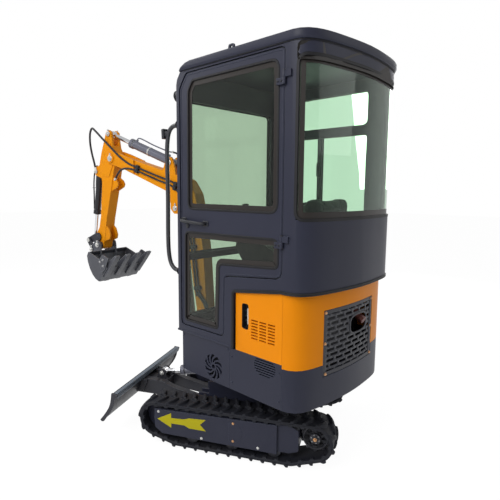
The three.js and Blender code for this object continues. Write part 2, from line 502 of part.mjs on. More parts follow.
add(front, 'boom', 'orange', join(cut(boom, hole(BOOM_FOOT, 20), box(218, 400, -27, 27, 1340, 1472)),
  ...pinEnds(BOOM_CYL_ROD, 14, 40, 54), pin(ARM_PIVOT, 18, 74), pin(ARM_CYL_BASE, 14, 55)));
cylinder(front, 'boom_cylinder', BOOM_CYL_BASE, BOOM_CYL_ROD,
  { barrel: 556, r: 36, rodR: 18, eyeHalf: 24, pinR: 14, retract: 322 });
cylinder(front, 'arm_cylinder', ARM_CYL_BASE, ARM_CYL_ROD,
  { barrel: 444, r: 32, rodR: 17, eyeHalf: 24, pinR: 14, retract: 184 });

// Arm, with lugs behind it for a thumb
const armOutline = rounded([[1080, 1070, 14], [1108, 1058, 20], [1136, 1074, 16], [1158, 1140, 16],
  [1158, 1184, 16], [1120, 1240, 20], [1100, 1330],
  [1072, 1600, 20], [1096, 1745, 30], [1070, 1835], [1034, 1930], [1008, 1998, 16], [980, 2010, 16],
    [952, 1990, 16], [950, 1950],
  [938, 1870], [906, 1816, 20], [902, 1760, 20], [936, 1700], [971, 1547], [1032, 1309], [1062, 1140]]);
const arm = join(sideways(armOutline, -44, 44), ...lugs(rounded([[1070, 1630], [1150, 1662, 14], [1166,
  1690, 14], [1150, 1722, 14], [1085, 1745]]), 28, 41),
  ...lugs(rounded([[962, 1650], [912, 1616, 14], [896, 1590, 12], [906, 1566, 12], [980, 1530]]), 26, 38),
  ...lugs(rounded([[1050, 1262], [1016, 1232], [998, 1180, 12], [1006, 1150, 12], [1060, 1128], [1080,
    1180]]), 30, 42));
add(front, 'arm', 'orange', join(cut(arm, hole(ARM_PIVOT, 18), hole(ROCKER_PIVOT, 13), hole(BUCKET_PIVOT,
  15),
  sideways([[890, 1862], [1060, 1934], [1060, 2040], [890, 2040]], -27, 27)), ...pinEnds(ARM_CYL_ROD, 14,
    36, 50), pin(BUCKET_CYL_BASE, 12, 46)));
cylinder(front, 'bucket_cylinder', BUCKET_CYL_BASE, ROCKER_END,
  { barrel: 346, r: 26, rodR: 13, eyeHalf: 20, pinR: 12, retract: 108 });

// Bucket linkage: a rocker outside the arm, a link outside it, and the bucket's ears outside both
function capsule(a, b, ra, rb, n = 7) {
  const t = Math.atan2(b[1] - a[1], b[0] - a[0]) * 180 / Math.PI;
  return [...circle(b, rb, n, t - 90, t + 90), ...circle(a, ra, n, t + 90, t + 270)];
}
add(front, 'bucket_rocker', 'dark', join(...lugs(capsule(ROCKER_PIVOT, ROCKER_END, 36, 24), 48, 58),
  pin(ROCKER_PIVOT, 13, 60), ...pinEnds(ROCKER_END, 12, 24, 74)));
for (const [side, s] of [['left', 1], ['right', -1]]) {
  const y = s > 0 ? [61, 70] : [-70, -61];
  add(front, `bucket_link_${side}`, 'dark', cut(sideways(capsule(ROCKER_END, BUCKET_LINK, 22, 21), ...y),
    hole(ROCKER_END, 12)));
}

// Bucket
const wall = [[1078, 1056], [1094, 1024], [1086, 978], [1064, 922], [1036, 880], [1002, 848], [965, 831],
  [924, 888], [880, 950]];
const wallIn = wall.map((p, i) => {
  const n = [wall[Math.max(0, i - 1)], wall[Math.min(wall.length - 1, i + 1)]];
  const [u, v] = normal(n[1], n[0]);
  return [p[0] + u * 9, p[1] + v * 9];
});
const scoop = cut(sideways([...wall].reverse().concat([[948, 1006]]).reverse(), -200, 200),
  sideways([...wallIn, [870, 1100], [1060, 1120]].reverse(), -191, 191));
const tooth = [[948, 872], [930, 906], [872, 984], [790, 1046], [774, 1040], [800, 1004], [858, 934],
  [912, 866]];
const cutter = [[950, 1004], [903, 1047], [842, 1022], [884, 932], [920, 900]];
const ear = rounded([[1066, 990], [1100, 990], [1192, 1036, 14], [1202, 1058, 12], [1190, 1078, 12],
  [1138, 1122, 16], [1108, 1134, 16],
  [1076, 1120, 16], [1070, 1090]]);
const bucket = join(scoop, ...[-168, -56, 56, 168].map((y) => sideways(tooth, y - 20, y + 20)),
  ...lugs(cutter, 199, 209), ...lugs(ear, 73, 84),
  ...[1, -1].flatMap((s) => [across(BUCKET_PIVOT, 27, ...(s > 0 ? [47, 74] : [-74, -47])),
    across(BUCKET_LINK, 12, ...(s > 0 ? [80, 90] : [-90, -80]), 12)]),
  pin(BUCKET_PIVOT, 15, 86));
add(front, 'bucket', 'dark', bucket);

// The middle of its outline stands on the origin.
root.updateMatrixWorld(true);
const bounds = new THREE.Box3().setFromObject(root);
root.position.set(-(bounds.min.x + bounds.max.x) / 2, -(bounds.min.y + bounds.max.y) / 2, -bounds.min.z);
root.updateMatrixWorld(true);

export default root;
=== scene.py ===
import json
import math

import bmesh
import bpy
import numpy as np
from mathutils import Matrix


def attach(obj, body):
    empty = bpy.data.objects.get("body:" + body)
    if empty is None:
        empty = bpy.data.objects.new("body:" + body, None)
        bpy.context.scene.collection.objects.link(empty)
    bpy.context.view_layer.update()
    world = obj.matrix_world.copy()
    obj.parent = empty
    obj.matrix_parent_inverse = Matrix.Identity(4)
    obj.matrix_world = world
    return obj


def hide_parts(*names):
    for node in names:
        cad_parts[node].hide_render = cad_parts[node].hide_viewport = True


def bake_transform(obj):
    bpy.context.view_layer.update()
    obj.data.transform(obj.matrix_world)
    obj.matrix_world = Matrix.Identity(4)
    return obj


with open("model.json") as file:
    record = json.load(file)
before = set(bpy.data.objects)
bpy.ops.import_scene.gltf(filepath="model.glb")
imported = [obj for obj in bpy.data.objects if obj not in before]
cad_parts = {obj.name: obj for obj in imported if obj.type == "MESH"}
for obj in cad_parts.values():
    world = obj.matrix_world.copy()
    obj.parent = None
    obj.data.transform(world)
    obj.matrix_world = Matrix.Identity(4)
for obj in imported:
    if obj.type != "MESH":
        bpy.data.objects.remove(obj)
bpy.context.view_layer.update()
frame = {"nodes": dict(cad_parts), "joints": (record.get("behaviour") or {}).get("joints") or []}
scene = bpy.context.scene
joints = {j["name"]: j for j in frame["joints"]}
print("frame loaded:", len(frame["nodes"]), "nodes")


# Places: millimetres in the house's, the undercarriage's or the boom's own axes, turned into the row frame

# A turn about Z that takes +Y onto the axis.
def turnedBy(axis):
    angle = math.atan2(-axis[0], axis[1])
    return np.array([[math.cos(angle), -math.sin(angle), 0], [math.sin(angle), math.cos(angle), 0],
                     [0, 0, 1]])


# The joint's place in the row frame, dropped to the floor.
def floorPoint(name):
    return np.array([joints[name]["pos_m"][0], joints[name]["pos_m"][1], 0.0])


places = {
    "house": (np.eye(3), floorPoint("swing")),
    "under": (turnedBy([-v for v in joints["blade"]["axis"]]), floorPoint("swing")),
    "front": (turnedBy(joints["arm"]["axis"]), floorPoint("boom_swing")),
}


# Millimetres to metres, turned by the home frame and moved to its origin.
def place(points, where):
    turn, origin = places[where]
    return np.asarray(points, float) / 1000 @ turn.T + origin


# Fixed and swinging bodies keep their own axes; all of the digging gear shares the boom's.
def homeOf(body):
    homes = {"house": "house", "door": "house", "undercarriage": "under", "blade": "under",
             "blade_cylinder": "under"}
    return homes.get(body, "front")


# Camera
cameraSettings = {"lens": 32.318, "shiftX": 0.00664, "shiftY": -0.0057, "pitch": 7.14, "roll": 0.43,
                  "yaw": 46.45, "place": (-1944, 2103, 1543)}


# Looks down by pitch and turned by yaw from +X towards -Y, then rolled about its own line of sight.
def makeCamera(s):
    pitch, roll, yaw = (math.radians(s[k]) for k in ("pitch", "roll", "yaw"))
    ahead = np.array([math.cos(yaw) * math.cos(pitch), -math.sin(yaw) * math.cos(pitch), -math.sin(pitch)])
    level = np.array([-math.sin(yaw), -math.cos(yaw), 0.0])
    upright = np.cross(level, ahead)
    right = level * math.cos(roll) + upright * math.sin(roll)
    up = -level * math.sin(roll) + upright * math.cos(roll)
    data = bpy.data.cameras.new("camera")
    data.lens, data.sensor_width = s["lens"], 36
    data.shift_x, data.shift_y = s["shiftX"], s["shiftY"]
    data.clip_start, data.clip_end = 0.05, 100
    camera = bpy.data.objects.new("camera", data)
    scene.collection.objects.link(camera)
    matrix = np.eye(4)
    matrix[:3, 0], matrix[:3, 1], matrix[:3, 2], matrix[:3,
            3] = right, up, -ahead, place(s["place"], "house")
    camera.matrix_world = Matrix(matrix.tolist())
    scene.camera = camera


makeCamera(cameraSettings)
print("camera made")


# Shader groups and finishes
def addNode(tree, kind, **settings):
    node = tree.nodes.new(kind)
    for key, value in settings.items():
        setattr(node, key, value)
    return node


# One Math node; a number fills its socket and anything else is linked to it.
def maths(tree, operation, first, second=0.0, clamp=False):
    node = addNode(tree, "ShaderNodeMath", operation=operation, use_clamp=clamp)
    for socket, value in zip(node.inputs, (first, second)):
        if isinstance(value, (int, float)):
            socket.default_value = value
        else:
            tree.links.new(value, socket)
    return node.outputs[0]


# One colour Mix node, first to second by the factor.
def mixed(tree, factor, first, second, blend="MIX"):
    node = addNode(tree, "ShaderNodeMix", data_type="RGBA", blend_type=blend)
    for socket, value in zip((node.inputs[0], node.inputs[6], node.inputs[7]), (factor, first, second)):
        if isinstance(value, (int, float)):
            socket.default_value = value
        elif isinstance(value, tuple):
            socket.default_value = (*value, 1) if len(value) == 3 else value
        else:
            tree.links.new(value, socket)
    return node.outputs[2]


# An empty node group with named sockets, and its input and output nodes.
def makeGroup(name, inputs, outputs):
    group = bpy.data.node_groups.new(name, "ShaderNodeTree")
    for label, kind, value in inputs:
        socket = group.interface.new_socket(label, in_out="INPUT", socket_type=kind)
        if value is not None:
            socket.default_value = value
    for label, kind in outputs:
        group.interface.new_socket(label, in_out="OUTPUT", socket_type=kind)
    return group, addNode(group, "NodeGroupInput"), addNode(group, "NodeGroupOutput")


# Fractal noise from 0 to 1 on the coordinates.
def noise(tree, coordinates, scale, detail=3.0, rough=0.55):
    node = addNode(tree, "ShaderNodeTexNoise")
    node.inputs["Detail"].default_value, node.inputs["Roughness"].default_value = detail, rough
    tree.links.new(coordinates, node.inputs["Vector"])
    if isinstance(scale, (int, float)):
        node.inputs["Scale"].default_value = scale
    else:
        tree.links.new(scale, node.inputs["Scale"])
    return node.outputs["Fac"]


# Edge is how far the rounded normal leans from the flat
# one, broken up by noise; Normal is the rounded one.
def makeEdgeGroup():
    g, given, out = makeGroup("roundedEdges",
                              [("Radius", "NodeSocketFloat", 0.003), ("Breakup", "NodeSocketFloat", 40.0)],
                              [("Normal", "NodeSocketVector"), ("Edge", "NodeSocketFloat")])
    bevel = addNode(g, "ShaderNodeBevel", samples=4)
    g.links.new(given.outputs["Radius"], bevel.inputs["Radius"])
    flat = addNode(g, "ShaderNodeNewGeometry")
    lean = addNode(g, "ShaderNodeVectorMath", operation="DOT_PRODUCT")
    g.links.new(bevel.outputs["Normal"], lean.inputs[0])
    g.links.new(flat.outputs["Normal"], lean.inputs[1])
    edge = maths(g, "MULTIPLY", maths(g, "SUBTRACT", 1.0, lean.outputs["Value"]), 9.0, clamp=True)
    coords = addNode(g, "ShaderNodeTexCoord")
    broken = maths(g, "MULTIPLY", noise(g, coords.outputs["Object"], given.outputs["Breakup"]), 1.7,
                   clamp=True)
    g.links.new(bevel.outputs["Normal"], out.inputs["Normal"])
    g.links.new(maths(g, "MULTIPLY", edge, broken), out.inputs["Edge"])
    return g


# Colour and gloss drift in broad patches, and a fine grain gives the height.
def makeToneGroup():
    g, given, out = makeGroup("surfaceTone",
                              [("Color", "NodeSocketColor", None), ("Roughness", "NodeSocketFloat", 0.5),
                              ("Spread", "NodeSocketFloat", 0.1), ("Patch", "NodeSocketFloat", 6.0),
                              ("Grain", "NodeSocketFloat", 300.0)],
                              [("Color", "NodeSocketColor"), ("Roughness", "NodeSocketFloat"),
                               ("Height", "NodeSocketFloat")])
    coords = addNode(g, "ShaderNodeTexCoord").outputs["Object"]
    broad = maths(g, "SUBTRACT", noise(g, coords, given.outputs["Patch"], 5.0), 0.5)
    fine = noise(g, coords, given.outputs["Grain"], 2.0)
    shade = maths(g, "ADD", 1.0, maths(g, "MULTIPLY", broad,
                                       maths(g, "MULTIPLY", given.outputs["Spread"], 4.0)))
    light = addNode(g, "ShaderNodeCombineXYZ")
    for socket in light.inputs:
        g.links.new(shade, socket)
    g.links.new(mixed(g, 1.0, given.outputs["Color"], light.outputs[0], "MULTIPLY"), out.inputs["Color"])
    gloss = maths(g, "MULTIPLY", maths(g, "ADD", broad,
                                       maths(g, "MULTIPLY", maths(g, "SUBTRACT", fine, 0.5), 0.5)),
                  maths(g, "MULTIPLY", given.outputs["Spread"], 2.0))
    g.links.new(maths(g, "ADD", given.outputs["Roughness"], gloss, clamp=True), out.inputs["Roughness"])
    g.links.new(fine, out.inputs["Height"])
    return g


# Dust lies on faces that look up and near the ground, in patches; it dulls the colour under it.
def makeDustGroup():
    g, given, out = makeGroup("settledDust",
                              [("Color", "NodeSocketColor", None),
                               ("Dust", "NodeSocketColor", (0.21, 0.19, 0.16, 1)),
                              ("Amount", "NodeSocketFloat", 0.2)],
                              [("Color", "NodeSocketColor"), ("Mask", "NodeSocketFloat")])
    coords = addNode(g, "ShaderNodeTexCoord").outputs["Object"]
    geometry = addNode(g, "ShaderNodeNewGeometry")
    split, high = addNode(g, "ShaderNodeSeparateXYZ"), addNode(g, "ShaderNodeSeparateXYZ")
    g.links.new(geometry.outputs["Normal"], split.inputs[0])
    g.links.new(coords, high.inputs[0])
    up = maths(g, "MULTIPLY", maths(g, "ADD", split.outputs[2], 0.15, clamp=True), 0.8)
    low = maths(g, "MULTIPLY", maths(g, "SUBTRACT", 0.6, high.outputs[2], clamp=True), 0.9)
    patches = maths(g, "MULTIPLY", maths(g, "SUBTRACT", noise(g, coords, 9.0, 6.0, 0.7), 0.38, clamp=True),
                    3.4, clamp=True)
    mask = maths(g, "MULTIPLY", maths(g, "MULTIPLY", maths(g, "ADD", up, low), patches),
                 given.outputs["Amount"], clamp=True)
    g.links.new(mixed(g, mask, given.outputs["Color"], given.outputs["Dust"]), out.inputs["Color"])
    g.links.new(mask, out.inputs["Mask"])
    return g


edgeGroup, toneGroup, dustGroup = makeEdgeGroup(), makeToneGroup(), makeDustGroup()


# A group node whose sockets take a value, a colour or a link by name.
def useGroup(tree, group, **values):
    node = addNode(tree, "ShaderNodeGroup", node_tree=group)
    for key, value in values.items():
        socket = node.inputs[key]
        if hasattr(value, "is_linked"):
            tree.links.new(value, socket)
        else:
            socket.default_value = (*value, 1) if isinstance(value, tuple) else value
    return node


# Tone, then edges lightened towards the edge colour, partly real wear and partly a painted edge highlight,
# then dust; the grain bumps a normal that is already rounded at the edges.
def makeFinish(name, colour, rough=0.5, metal=0.0, spread=0.08, patch=5.0, grain=260.0, bump=0.12,
               radius=0.002,
               wearAndHighlight=0.25, wearAndHighlightColour=(0.35, 0.35, 0.36), dust=0.2, coat=0.0, specular=0.5, weave=0.0,
               sheen=0.0, flutes=0.0):
    material = bpy.data.materials.new(name)
    material.use_nodes = True
    tree = material.node_tree
    shader = tree.nodes["Principled BSDF"]
    tone = useGroup(tree, toneGroup, Color=colour, Roughness=rough, Spread=spread, Patch=patch, Grain=grain)
    edges = useGroup(tree, edgeGroup, Radius=radius)
    wornAndHighlit = mixed(tree, maths(tree, "MULTIPLY", edges.outputs["Edge"], wearAndHighlight), tone.outputs["Color"],
                 wearAndHighlightColour)
    dusty = useGroup(tree, dustGroup, Color=wornAndHighlit, Amount=dust)
    tree.links.new(dusty.outputs["Color"], shader.inputs["Base Color"])
    dull = maths(tree, "ADD", tone.outputs["Roughness"],
                 maths(tree, "MULTIPLY", dusty.outputs["Mask"], 0.35), clamp=True)
    tree.links.new(dull, shader.inputs["Roughness"])
    height = tone.outputs["Height"]
    if weave or flutes:
        coords = addNode(tree, "ShaderNodeTexCoord").outputs["Object"]
        waves = []
        for direction in ("X", "Y") if weave else ("Z",):
            wave = addNode(tree, "ShaderNodeTexWave", bands_direction=direction)
            wave.inputs["Scale"].default_value = weave or flutes
            tree.links.new(coords, wave.inputs["Vector"])
            waves.append(wave.outputs["Fac"])
        height = maths(tree, "ADD", height, maths(tree, "MAXIMUM", waves[0], waves[-1]))
    bumped = addNode(tree, "ShaderNodeBump")
    bumped.inputs["Strength"].default_value, bumped.inputs["Distance"].default_value = bump, 0.0006
    tree.links.new(height, bumped.inputs["Height"])
    tree.links.new(edges.outputs["Normal"], bumped.inputs["Normal"])
    tree.links.new(bumped.outputs["Normal"], shader.inputs["Normal"])
    shader.inputs["Metallic"].default_value = metal
    shader.inputs["Coat Weight"].default_value, shader.inputs["Coat Roughness"].default_value = coat, 0.12
    shader.inputs["Specular IOR Level"].default_value = specular
    shader.inputs["Sheen Weight"].default_value = sheen
    return material


# Tinted glass; light falls through it, so what is behind stays lit.
def makeGlass(name, colour):
    material = bpy.data.materials.new(name)
    material.use_nodes = True
    tree = material.node_tree
    shader = tree.nodes["Principled BSDF"]
    tone = useGroup(tree, toneGroup, Color=colour, Roughness=0.02, Spread=0.015, Patch=3.0)
    tree.links.new(tone.outputs["Color"], shader.inputs["Base Color"])
    shader.inputs["Roughness"].default_value, shader.inputs["IOR"].default_value = 0.0, 1.3
    shader.inputs["Transmission Weight"].default_value = 1.0
    clear = addNode(tree, "ShaderNodeBsdfTransparent")
    clear.inputs["Color"].default_value = (*colour, 1)
    ray, pick = addNode(tree, "ShaderNodeLightPath"), addNode(tree, "ShaderNodeMixShader")
    tree.links.new(maths(tree, "MAXIMUM", ray.outputs["Is Shadow Ray"], ray.outputs["Is Diffuse Ray"]),
                   pick.inputs[0])
    tree.links.new(shader.outputs[0], pick.inputs[1])
    tree.links.new(clear.outputs[0], pick.inputs[2])
    tree.links.new(pick.outputs[0], tree.nodes["Material Output"].inputs["Surface"])
    return material


finishes = {
    # The slate paint's pale blue edge colour is a painted edge highlight on top of light wear.
    "body": makeFinish("slatePaint", (0.024, 0.026, 0.045), 0.42, spread=0.06, radius=0.004, wearAndHighlight=0.35,
                       wearAndHighlightColour=(0.10, 0.12, 0.18), dust=0.03, specular=0.22, bump=0.05),
    "yellow": makeFinish("amberPaint", (0.84, 0.262, 0.0008), 0.38, spread=0.03, radius=0.003, wearAndHighlight=0.1,
                         wearAndHighlightColour=(0.9, 0.42, 0.05), dust=0.01, specular=0.12, bump=0.04),
    "orange": makeFinish("orangePaint", (0.80, 0.285, 0.002), 0.4, spread=0.06, radius=0.004, wearAndHighlight=0.2,
                         wearAndHighlightColour=(0.93, 0.45, 0.08), dust=0.02, specular=0.15, bump=0.07),
    "dark": makeFinish("charcoalCast", (0.030, 0.031, 0.040), 0.46, metal=0.1, spread=0.14, patch=12.0,
                       radius=0.004,
                       wearAndHighlight=0.5, wearAndHighlightColour=(0.16, 0.17, 0.21), dust=0.1, bump=0.3, specular=0.35),
    "rubber": makeFinish("trackRubber", (0.010, 0.011, 0.017), 0.62, spread=0.14, patch=14.0, grain=500.0,
                         radius=0.005,
                         wearAndHighlight=0.3, wearAndHighlightColour=(0.05, 0.055, 0.075), dust=0.05, bump=0.35, specular=0.25),
    "seal": makeFinish("sealRubber", (0.006, 0.006, 0.008), 0.55, spread=0.05, wearAndHighlight=0.2,
                       wearAndHighlightColour=(0.04, 0.04, 0.05), dust=0.04, bump=0.1, specular=0.3),
    "hose": makeFinish("hoseRubber", (0.014, 0.013, 0.016), 0.5, spread=0.08, grain=900.0, wearAndHighlight=0.0,
                       dust=0.06, bump=0.4, specular=0.35),
    "chrome": makeFinish("rodChrome", (0.72, 0.73, 0.75), 0.09, metal=1.0, spread=0.03, wearAndHighlight=0.0, dust=0.03,
                         bump=0.02),
    "grey": makeFinish("barrelPaint", (0.13, 0.135, 0.175), 0.32, metal=0.2, spread=0.07, wearAndHighlight=0.3,
                       radius=0.003, wearAndHighlightColour=(0.4, 0.4, 0.45), dust=0.06, coat=0.15),
    "ram": makeFinish("blackBarrelPaint", (0.012, 0.012, 0.016), 0.36, spread=0.07, wearAndHighlight=0.3, dust=0.04,
                      specular=0.4),
    "steel": makeFinish("bareSteel", (0.38, 0.38, 0.39), 0.34, metal=0.9, spread=0.09, patch=18.0, wearAndHighlight=0.3,
                        wearAndHighlightColour=(0.7, 0.7, 0.7), dust=0.1),
    "zinc": makeFinish("zincPlate", (0.62, 0.62, 0.60), 0.3, metal=0.8, spread=0.06, wearAndHighlight=0.2, radius=0.001,
                       dust=0.05),
    "copper": makeFinish("yellowZincPlate", (0.60, 0.33, 0.16), 0.34, metal=0.7, spread=0.08, wearAndHighlight=0.2,
                         radius=0.001, wearAndHighlightColour=(0.8, 0.6, 0.4), dust=0.05),
    "black": makeFinish("blackPlastic", (0.014, 0.015, 0.020), 0.44, spread=0.06, grain=700.0, wearAndHighlight=0.2,
                        wearAndHighlightColour=(0.09, 0.09, 0.11), dust=0.04, bump=0.25, specular=0.35),
    "rail": makeFinish("railPaint", (0.026, 0.027, 0.034), 0.33, spread=0.05, wearAndHighlight=0.15,
                       wearAndHighlightColour=(0.16, 0.16, 0.19), dust=0.03, specular=0.5),
    "bucketPaint": makeFinish("bucketPaint", (0.070, 0.073, 0.088), 0.42, metal=0.15, spread=0.16,
                              patch=10.0, radius=0.005,
                              wearAndHighlight=0.7, wearAndHighlightColour=(0.34, 0.35, 0.38), dust=0.15, bump=0.3),
    "strip": makeFinish("paleEdgePaint", (0.15, 0.185, 0.23), 0.4, spread=0.08, wearAndHighlight=0.3,
                        wearAndHighlightColour=(0.3, 0.33, 0.37), dust=0.06, specular=0.3),
    "border": makeFinish("glassBorder", (0.020, 0.016, 0.014), 0.35, spread=0.06, wearAndHighlight=0.0, dust=0.0,
                         bump=0.02, specular=0.3),
    "engine": makeFinish("engineCast", (0.05, 0.05, 0.055), 0.6, metal=0.4, spread=0.15, wearAndHighlight=0.3, dust=0.2,
                         bump=0.5),
    "rust": makeFinish("heatTintedSteel", (0.10, 0.022, 0.016), 0.5, metal=0.5, spread=0.25, patch=22.0,
                       wearAndHighlight=0.2, dust=0.1, bump=0.5),
    "cushion": makeFinish("seatCloth", (0.020, 0.022, 0.026), 0.82, spread=0.08, wearAndHighlight=0.0, dust=0.03,
                          bump=0.7, weave=170.0, sheen=0.2, specular=0.2),
    "mat": makeFinish("ribbedMat", (0.016, 0.016, 0.018), 0.7, spread=0.08, wearAndHighlight=0.1, dust=0.15, bump=0.6,
                      flutes=60.0),
    "lining": makeFinish("cabLining", (0.030, 0.032, 0.034), 0.8, spread=0.05, wearAndHighlight=0.0, dust=0.0, bump=0.3,
                         specular=0.2),
    "decal": makeFinish("limeFilm", (0.47, 0.41, 0.002), 0.42, spread=0.03, wearAndHighlight=0.1, radius=0.0008,
                        wearAndHighlightColour=(0.55, 0.5, 0.1), dust=0.02, specular=0.25),
    "lens": makeFinish("lampLens", (0.6, 0.62, 0.64), 0.12, metal=0.3, spread=0.03, wearAndHighlight=0.0, dust=0.03,
                       coat=0.8),
    "dial": makeFinish("gaugeFace", (0.6, 0.6, 0.56), 0.3, spread=0.05, wearAndHighlight=0.0, dust=0.03, coat=0.5),
    "glass": makeGlass("greenGlass", (0.69, 0.87, 0.72)),
    "smoked": makeGlass("smokedGlass", (0.50, 0.56, 0.47)),
}
print("finishes made:", len(finishes))


# The CAD nodes take their finishes, and their curved faces shade smoothly
# Merges the loose corners, marks edges sharper than the angle and shades the rest smooth.
def makeSoftener():
    group = bpy.data.node_groups.new("smoothCurves", "GeometryNodeTree")
    group.interface.new_socket("Geometry", in_out="INPUT", socket_type="NodeSocketGeometry")
    group.interface.new_socket("Geometry", in_out="OUTPUT", socket_type="NodeSocketGeometry")
    given, out = addNode(group, "NodeGroupInput"), addNode(group, "NodeGroupOutput")
    weld = addNode(group, "GeometryNodeMergeByDistance")
    weld.inputs["Distance"].default_value = 0.00001
    faces = addNode(group, "GeometryNodeSetShadeSmooth", domain="FACE")
    faces.inputs["Shade Smooth"].default_value = True
    angle = addNode(group, "GeometryNodeInputMeshEdgeAngle")
    sharp = maths(group, "GREATER_THAN", angle.outputs["Unsigned Angle"], math.radians(33))
    edges = addNode(group, "GeometryNodeSetShadeSmooth", domain="EDGE")
    edges.inputs["Shade Smooth"].default_value = False
    for a, b in ((given.outputs[0], weld.inputs["Geometry"]), (weld.outputs[0], faces.inputs["Geometry"]),
                 (faces.outputs[0], edges.inputs["Geometry"]), (sharp, edges.inputs["Selection"]),
                 (edges.outputs[0], out.inputs[0])):
        group.links.new(a, b)
    return group


softener = makeSoftener()
looks = {
    "body": ["track_frame_left", "track_frame_right", "car_body", "panel_left_front", "panel_right_front",
             "skirt_left",
             "skirt_right", "panel_front", "counterweight", "cab_frame", "roof", "door_frame"],
    "yellow": ["panel_left_rear", "panel_right_rear", "rear_hood"],
    "orange": ["kingpost", "boom", "arm"],
    "dark": ["sprocket_left", "sprocket_right", "house_deck", "rear_grille", "bucket_rocker",
             "bucket_link_left", "bucket_link_right", "blade"],
    "rubber": ["track_left", "track_right"],
    "grey": ["blade_cylinder", "boom_cylinder", "arm_cylinder", "swing_cylinder"],
    "ram": ["bucket_cylinder"],
    "chrome": ["blade_cylinder_rod", "boom_cylinder_rod", "arm_cylinder_rod", "swing_cylinder_rod",
               "bucket_cylinder_rod"],
    "steel": ["swing_bearing"],
    "rust": ["muffler"],
    "engine": ["engine_block"],
    "black": ["door_handle", "work_lamp", "seat_consoles", "travel_levers", "dash"],
    "rail": ["grab_rail"],
    "glass": ["rear_glass", "right_glass_upper", "right_glass_lower", "windshield_upper",
              "windshield_lower"],
    "smoked": ["door_glass_upper", "door_glass_lower"],
    "bucketPaint": ["bucket"],
    "cushion": ["seat_cushion", "seat_back"],
}
for look, names in looks.items():
    for name in names:
        node = frame["nodes"][name]
        node.material_slots[0].material = finishes[look]
        node.modifiers.new("smoothCurves", "NODES").node_group = softener
        node.modifiers.new("weightedNormals", "WEIGHTED_NORMAL").keep_sharp = True
print("nodes dressed")


# Surfaces: every shape is a grid of points, rows by columns
def unit(v):
    return v / np.maximum(np.linalg.norm(v, axis=-1, keepdims=True), 1e-9)


# Quads join neighbouring rows and columns; columns wrap, and rows wrap too or get a cap at each end.
def surface(grid, closeRows=False):
    rows, cols = grid.shape[:2]
    i = np.arange(rows if closeRows else rows - 1)[:, None]
    j = np.arange(cols)[None, :]
    below, beside = (i + 1) % rows, (j + 1) % cols
    quads = np.stack([i * cols + j, i * cols + beside, below * cols + beside, below * cols + j],
                     -1).reshape(-1, 4)
    ends = [np.arange(cols)[::-1], np.arange(cols) + (rows - 1) * cols] if not closeRows else []
    return grid.reshape(-1, 3), quads, ends


# Gathers grids into one mesh, puts it in the row frame, and hands it to its body; a piece that spans two
# bodies is left in place, on neither of them.
def piece(name, parts, finish, body, smooth=38, solid=0.0, replaces=(), mirrored=False):
    if mirrored:
        parts = parts + [(points * [1, -1, 1], quads, ends) for points, quads, ends in parts]
    where = homeOf(body if isinstance(body, str) else body[1])
    corners, sizes, start = [], [], 0
    for points, quads, ends in parts:
        corners += [quads.ravel() + start] + [end + start for end in ends]
        sizes += [np.full(len(quads), 4)] + [np.array([len(end)]) for end in ends]
        start += len(points)
    corners, sizes = np.concatenate(corners), np.concatenate(sizes)
    points = place(np.concatenate([p for p, _, _ in parts]), where)
    mesh = bpy.data.meshes.new(name)
    mesh.vertices.add(len(points))
    mesh.vertices.foreach_set("co", points.ravel())
    mesh.loops.add(len(corners))
    mesh.loops.foreach_set("vertex_index", corners.astype(np.int32))
    mesh.polygons.add(len(sizes))
    mesh.polygons.foreach_set("loop_start", (np.cumsum(sizes) - sizes).astype(np.int32))
    mesh.update(calc_edges=True)
    work = bmesh.new()
    work.from_mesh(mesh)
    bmesh.ops.recalc_face_normals(work, faces=work.faces)
    work.to_mesh(mesh)
    work.free()
    mesh.shade_smooth()
    mesh.set_sharp_from_angle(angle=math.radians(smooth))
    obj = bpy.data.objects.new(name, mesh)
    scene.collection.objects.link(obj)
    mesh.materials.append(finishes[finish])
    if solid:
        wall = obj.modifiers.new("wall", "SOLIDIFY")
        wall.thickness, wall.offset = solid / 1000, -1
    if isinstance(body, str):
        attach(obj, body)
    else:
        first, second, start, end = body
        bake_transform(obj)
    if replaces:
        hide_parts(*replaces)
    return obj


# The same line with its points set evenly along its length.
def spread(points, count, closed=False):
    loop = np.concatenate([points, points[:1]]) if closed else points
    reach = np.concatenate([[0], np.cumsum(np.linalg.norm(np.diff(loop, axis=0), axis=1))])
    stops = np.linspace(0, reach[-1], count, endpoint=not closed)
    return np.stack([np.interp(stops, reach, loop[:, k]) for k in range(loop.shape[1])], -1)


# Centripetal Catmull-Rom: cubics whose end slopes weigh each neighbour by the root of its distance.
def curveThrough(points, count, closed=False):
    p = np.asarray(points, float)
    q = np.concatenate([p[-1:], p,
                        p[:2]]) if closed else np.concatenate([2 * p[:1] - p[1:2], p,
                                2 * p[-1:] - p[-2:-1]])
    a, b, c, d = q[:-3], q[1:-2], q[2:-1], q[3:]
    ab, bc, cd = (np.sqrt(np.linalg.norm(v, axis=1))[:, None] for v in (b - a, c - b, d - c))
    leave = ((b - a) / ab - (c - a) / (ab + bc) + (c - b) / bc) * bc
    arrive = ((c - b) / bc - (d - b) / (bc + cd) + (d - c) / cd) * bc
    u = np.linspace(0, 1, 24, endpoint=False)[None, :, None]
    b, c, leave, arrive = (v[:, None] for v in (b, c, leave, arrive))
    fine = (b * (2 * u**3 - 3 * u**2 + 1) + leave * (u**3 - 2 * u**2 + u) + c * (3 * u**2 - 2 * u**3)
            + arrive * (u**3 - u**2)).reshape(-1, p.shape[1])
    return spread(fine if closed else np.concatenate([fine, p[-1:]]), count, closed)


